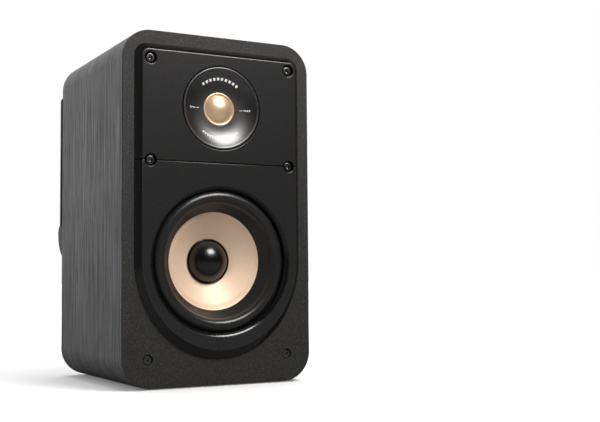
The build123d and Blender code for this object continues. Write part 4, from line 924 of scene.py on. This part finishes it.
def woofer_cone():
    """Spun cone with four shallow grooves near its edge."""
    start = (CONE_EDGE[0] - 0.15, CONE_EDGE[1] + 0.75)
    front = arc_through(start, CONE_MIDDLE, CONE_FOOT, 120)
    grooved = []
    for radius, depth in front:
        inside = smoothstep(radius, 36.6, 37.2) * (1 - smoothstep(radius, 40.6, 41.0))
        groove = max(0.0, math.cos((radius - 36.9) * 2 * math.pi))
        grooved.append((radius, depth + GROOVE_DEPTH * inside * groove ** 3))
    back = [(r, depth + CONE_SHEET) for r, depth in (NECK, CONE_FOOT, CONE_MIDDLE, start, CONE_RIM)]
    profile = [CONE_RIM, (46.0, 6.5), *grooved, NECK, *back]
    mesh = turned_mesh("spun_cone", profile, WOOFER, 256)
    stand_in("spun_cone", mesh, "woofer_cone")


def dust_cap():
    edge, edge_y = CAP_EDGE
    inner = edge - CAP_RIM
    rise, foot = CAP_HEIGHT - CAP_STEP, edge_y - CAP_STEP
    front = [(edge + 0.5, edge_y - 0.15), (edge + 0.35, edge_y - 0.75)]
    front += rounded((edge + 0.2, edge_y - 1.0), (edge - 0.2, edge_y - 1.35), (inner + 0.3, edge_y - 1.0), 5)
    front += cap_curve(inner, rise, foot, 40)
    back = [(r * 0.96, depth + CAP_SHEET) for r, depth in reversed(cap_curve(inner, rise, foot, 16))]
    mesh = turned_mesh("domed_cap", [*front, *back, (edge, edge_y + 0.1)], WOOFER, 192)
    stand_in("domed_cap", mesh, "woofer_dust_cap")


# ---- the back --------------------------------------------

SAME_POINT = 2e-6
FLAT_BELOW, BEVEL_ABOVE, SOFT_BELOW = 0.5, 28.0, 50.0


def softened(node, width):
    """The node's own shape with its sharp edges rounded by width mm."""
    mesh = frame["nodes"][node].data.copy()
    mesh.name = node + "_soft"
    mesh.materials.clear()
    work = bmesh.new()
    work.from_mesh(mesh)
    bmesh.ops.remove_doubles(work, verts=work.verts, dist=SAME_POINT)
    flat = math.radians(FLAT_BELOW)
    bmesh.ops.dissolve_limit(work, angle_limit=flat, verts=work.verts, edges=work.edges, delimit={"NORMAL"})
    limit = math.radians(BEVEL_ABOVE)
    edges = [edge for edge in work.edges if edge.is_manifold and edge.calc_face_angle(0.0) > limit]
    shape = {"offset_type": "OFFSET", "segments": 2, "profile": 0.5, "affect": "EDGES", "clamp_overlap": True}
    bmesh.ops.bevel(work, geom=edges, offset=width * MM, **shape)
    bmesh.ops.recalc_face_normals(work, faces=work.faces)
    work.to_mesh(mesh)
    work.free()
    smooth(mesh, SOFT_BELOW)
    weigh_normals(mesh, SOFT_BELOW)
    stand_in(node + "_soft", mesh, node)


NUT_LOW, NUT_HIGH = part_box("thumb_nut_positive")
NUT_RADIUS = (NUT_HIGH.x - NUT_LOW.x) / 2 / MM
NUT_LENGTH = (NUT_HIGH.y - NUT_LOW.y) / MM
NUT_BORE = 4.0
FLUTES, FLUTE_DEPTH = 18, 0.55
BAND_OUTER, BAND_INNER, BAND_DEPTH = 6.4, 5.2, 0.6


def fluted_nut(name, node, band):
    """A gold thumb nut with a fluted grip, a groove, and a coloured plastic ring let into its face."""
    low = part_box(node)[0]
    centre = Vector((middle(node).x, low.y, middle(node).z))
    grip, end, groove = NUT_RADIUS, NUT_LENGTH, NUT_LENGTH - BAND_DEPTH
    shape = [(NUT_BORE + 0.2, 0, 0), (grip - 0.8, 0, 0), (grip - 0.3, 0.25, 0), (grip, 0.8, 0)]
    shape += [(grip, 2.0, 0), (grip - 0.9, 2.4, 0), (grip - 0.9, 3.1, 0), (grip, 3.5, 0)]
    shape += [(grip, 3.9, 0), (grip, 4.4, 1), (grip, end - 2.1, 1), (grip, end - 1.6, 0)]
    shape += [(grip, end - 0.8, 0), (grip - 0.25, end - 0.25, 0), (grip - 0.8, end, 0)]
    shape += [(BAND_OUTER + 0.1, end, 0), (BAND_OUTER, groove, 0), (BAND_INNER, groove, 0)]
    shape += [(BAND_INNER - 0.1, end, 0), (NUT_BORE + 0.25, end, 0)]
    shape += [(NUT_BORE, end - 0.25, 0), (NUT_BORE, 0.2, 0)]
    segments = FLUTES * 8
    work = bmesh.new()
    rows = []
    for radius, depth, fluted in shape:
        row = []
        for i in range(segments):
            angle = 2 * math.pi * i / segments
            reach = radius - FLUTE_DEPTH * fluted * max(0.0, math.cos(FLUTES * angle)) ** 0.8
            spot = Vector((math.sin(angle) * reach, depth, math.cos(angle) * reach))
            row.append(work.verts.new(centre + spot * MM))
        rows.append(row)
    bridge(work, rows, closed=True)
    stand_in(name, finished_mesh(work, name, 32), node)
    outer, inner = BAND_OUTER - 0.05, BAND_INNER + 0.05
    inlay = [(outer, end - 0.5), (outer, end - 0.1), (outer - 0.15, end)]
    inlay += [(inner + 0.15, end), (inner, end - 0.1), (inner, end - 0.5)]
    mesh = turned_mesh(name + "_band", inlay, centre, 96)
    add_object(name + "_band", mesh, band, BODY_OF[node])


def back_side():
    for node, width in (
        ("port_diffuser", 0.8),
        ("terminal_cup", 0.6),
        ("keyhole_plate", 0.25),
        ("rear_panel", 0.2),
        ("binding_post_positive", 0.2),
        ("binding_post_negative", 0.2),
        ("clamp_washer_positive", 0.2),
        ("clamp_washer_negative", 0.2),
        ("threaded_insert", 0.25),
        ("small_screws", 0.25),
        ("diffuser_screws", 0.3),
        ("rubber_feet", 0.25),
    ):
        softened(node, width)
    red = grained("red_ring", (0.45, 0.012, 0.012), 0.4, grain=1500, depth=0.00002)
    black = grained("black_ring", (0.015, 0.015, 0.015), 0.4, grain=1500, depth=0.00002)
    fluted_nut("fluted_nut_positive", "thumb_nut_positive", red)
    fluted_nut("fluted_nut_negative", "thumb_nut_negative", black)


# ---- the pieces behind the cone that flex ----------------

SPIDER_Y = 33.5
SPIDER_SHEET = 0.5
SPIDER_INNER, SPIDER_FIRST, SPIDER_LAST, SPIDER_EDGE = 12.85, 15.85, 29.5, 34.1
SPIDER_CREST = 0.9
SPIDER_WAVES = 7
LEAD_X = 5.0
LEAD_RADIUS = 0.5
LEAD_PATH = ((35.6, -42.0), (29.4, -42.0), (28.4, -26.5), (30.5, -13.2))
LEAD_BEND = 4.0


def spider():
    """The corrugated centring disc. Its inner edge goes with the former and its rim stays on the basket."""
    front = [(SPIDER_INNER, SPIDER_Y)]
    steps = 72
    for i in range(steps + 1):
        wave = (SPIDER_WAVES - 1) * i / steps
        radius = SPIDER_FIRST + (SPIDER_LAST - SPIDER_FIRST) * i / steps
        front.append((radius, SPIDER_Y - SPIDER_CREST * math.cos(math.pi * wave)))
    front += [(SPIDER_LAST + 1, SPIDER_Y), (SPIDER_EDGE, SPIDER_Y)]
    back = [(radius, depth + SPIDER_SHEET) for radius, depth in reversed(front)]
    mesh = turned_mesh("corrugated_spider", [*front, *back], WOOFER)
    piece = stand_in("corrugated_spider", mesh, "woofer_spider", rides=False)
    blend_round(piece, "cabinet", "woofer_moving", WOOFER, SPIDER_LAST, SPIDER_INNER)


def bent_path(corners, bend):
    """The corners as points, with each inner corner rounded off."""
    path = [corners[0]]
    for before, corner, after in zip(corners, corners[1:], corners[2:]):
        start = corner + (before - corner).normalized() * bend
        end = corner + (after - corner).normalized() * bend
        for i in range(9):
            t = i / 8
            path.append(start * (1 - t) ** 2 + corner * (2 * t * (1 - t)) + end * t * t)
    path.append(corners[-1])
    return path


def tube_rows(work, path, radius):
    """A closed round tube along path. Every point of path lies in one upright plane of constant x."""
    sides = 12
    rows = []
    for i, point in enumerate(path):
        along = (path[min(i + 1, len(path) - 1)] - path[max(i - 1, 0)]).normalized()
        across = Vector((1, 0, 0))
        up = along.cross(across)
        turns = [2 * math.pi * k / sides for k in range(sides)]
        ring = [(across * math.cos(a) + up * math.sin(a)) * radius for a in turns]
        rows.append([work.verts.new(point + offset) for offset in ring])
    bridge(work, rows)
    work.faces.new(rows[0])
    work.faces.new(rows[-1])


def tinsel_leads():
    """Two braided leads. The foot of each stays on its tab and the head goes with the cone."""
    work = bmesh.new()
    for side in (-1, 1):
        corners = [WOOFER + Vector((side * LEAD_X, depth, height)) * MM for depth, height in LEAD_PATH]
        tube_rows(work, bent_path(corners, LEAD_BEND * MM), LEAD_RADIUS * MM)
    mesh = finished_mesh(work, "braided_leads", SMOOTH_BELOW)
    piece = stand_in("braided_leads", mesh, "tinsel_leads", rides=False)
    foot = WOOFER + Vector((0, 0, LEAD_PATH[1][1] + LEAD_BEND)) * MM
    head = WOOFER + Vector((0, 0, LEAD_PATH[-1][1] - 1)) * MM
    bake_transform(piece, "cabinet", "woofer_moving", start=foot, end=head)


vinyl_wrap()
leather_facing()
front_plates()
front_screws()
tweeter()
woofer_surround()
woofer_cone()
dust_cap()
spider()
tinsel_leads()
back_side()

# ---- camera, floor and light -----------------------------

CAMERA_FROM_BAFFLE = Vector((-0.3587, -0.7898, 0.0884))
YAW, PITCH, ROLL = (math.radians(a) for a in (28.93, 3.82, -0.5))
LENS, SENSOR = 61.5, 36.0
FLOOR_SIZE = 40.0
FLOOR_SEEN = (0.80, 0.80, 0.805)
FLOOR_BOUNCE = 0.16
GLOW_REACH, GLOW_LEVEL = (0.15, 0.9), (0.12, 1.0)
BRIGHT_SIDE = (-0.42, 0.90, 0.10)
DARK_UNTIL, BRIGHT_FROM = 0.08, 0.75
DARK_LEVEL = 0.03
WHITE, WARM_WHITE = (1.0, 1.0, 1.0), (1.0, 0.97, 0.94)
CENTRE = Vector((0, BAFFLE_Y, 0.15))


def make_camera():
    forward = Vector((math.sin(YAW) * math.cos(PITCH), math.cos(YAW) * math.cos(PITCH), math.sin(PITCH)))
    level = Vector((math.cos(YAW), -math.sin(YAW), 0))
    up = level.cross(forward)
    right = level * math.cos(ROLL) + up * math.sin(ROLL)
    top = up * math.cos(ROLL) - level * math.sin(ROLL)
    data = bpy.data.cameras.new("camera")
    data.lens = LENS
    data.sensor_width = SENSOR
    data.sensor_fit = "HORIZONTAL"
    camera = bpy.data.objects.new("camera", data)
    turn = Matrix((right, top, -forward)).transposed().to_4x4()
    camera.matrix_world = Matrix.Translation(CAMERA_FROM_BAFFLE + Vector((0, BAFFLE_Y, 0))) @ turn
    bpy.context.scene.collection.objects.link(camera)
    bpy.context.scene.camera = camera


def add_light(name, place, target, size, power, colour, glossy):
    """An area light whose place and target are taken from the middle of the baffle's face."""
    data = bpy.data.lights.new(name, "AREA")
    data.shape = "RECTANGLE"
    data.size, data.size_y = size
    data.energy = power
    data.color = colour
    lamp = bpy.data.objects.new(name, data)
    lamp.location = CENTRE + Vector(place)
    lamp.rotation_euler = (Vector(target) - Vector(place)).to_track_quat("-Z", "Y").to_euler()
    lamp.visible_glossy = glossy
    bpy.context.scene.collection.objects.link(lamp)


def make_floor():
    """A pale floor that brightens into the backdrop away from the speaker. It throws little light back."""
    work = bmesh.new()
    bmesh.ops.create_grid(work, x_segments=2, y_segments=2, size=FLOOR_SIZE)
    mesh = bpy.data.meshes.new("floor")
    work.to_mesh(mesh)
    work.free()
    finish = Finish("pale_floor", (0.9, 0.9, 0.9), 0.6, Specular_IOR_Level=0.1)
    seen = finish.node("LightPath", "Is Camera Ray")
    finish.set("Base Color", finish.mix(seen, (FLOOR_BOUNCE,) * 3, FLOOR_SEEN))
    spot = finish.node("TexCoord", "Object")
    away = finish.node("VectorMath", "Value", {0: spot}, operation="LENGTH")
    glow = finish.fit(away, *GLOW_REACH, *GLOW_LEVEL)
    finish.set("Emission Color", (1.0, 1.0, 1.0, 1.0))
    finish.set("Emission Strength", finish.math("MULTIPLY", glow, seen))
    floor = bpy.data.objects.new("floor", mesh)
    mesh.materials.append(finish.material)
    bpy.context.scene.collection.objects.link(floor)


def make_world():
    """A white backdrop. As light it is bright behind the speaker and dark in front, so blacks stay black."""
    world = bpy.data.worlds.new("studio")
    world.use_nodes = True
    studio = Nodes(world.node_tree)
    where = studio.node("TexCoord", "Generated")
    behind = studio.node("VectorMath", "Value", {0: where, 1: BRIGHT_SIDE}, operation="DOT_PRODUCT")
    values = {0: behind, 1: DARK_UNTIL, 2: BRIGHT_FROM, 3: DARK_LEVEL, 4: 1.0}
    level = studio.node("MapRange", 0, values, interpolation_type="SMOOTHSTEP")
    seen = studio.node("LightPath", "Is Camera Ray")
    strength = studio.node("Math", 0, {0: level, 1: seen}, operation="MAXIMUM")
    background = studio.tree.nodes["Background"]
    studio.tree.links.new(strength, background.inputs["Strength"])
    background.inputs["Color"].default_value = (1, 1, 1, 1)
    bpy.context.scene.world = world
    bpy.context.scene.view_settings.view_transform = "Standard"


make_camera()
make_floor()
make_world()
add_light("key", (0.30, -0.68, 0.76), (0, 0, 0.05), (0.52, 0.42), 13, WARM_WHITE, True)
add_light("near_side", (-0.55, -0.30, 0.10), (-0.05, 0.05, 0), (0.3, 0.5), 1.4, WHITE, False)
add_light("low_fill", (-0.35, -1.0, -0.14), (0, 0, 0), (0.5, 0.2), 3.0, WARM_WHITE, False)
add_light("floor_wash", (0.3, 0.6, 2.6), (0.1, 0.1, -0.15), (2.2, 2.2), 60, WHITE, False)
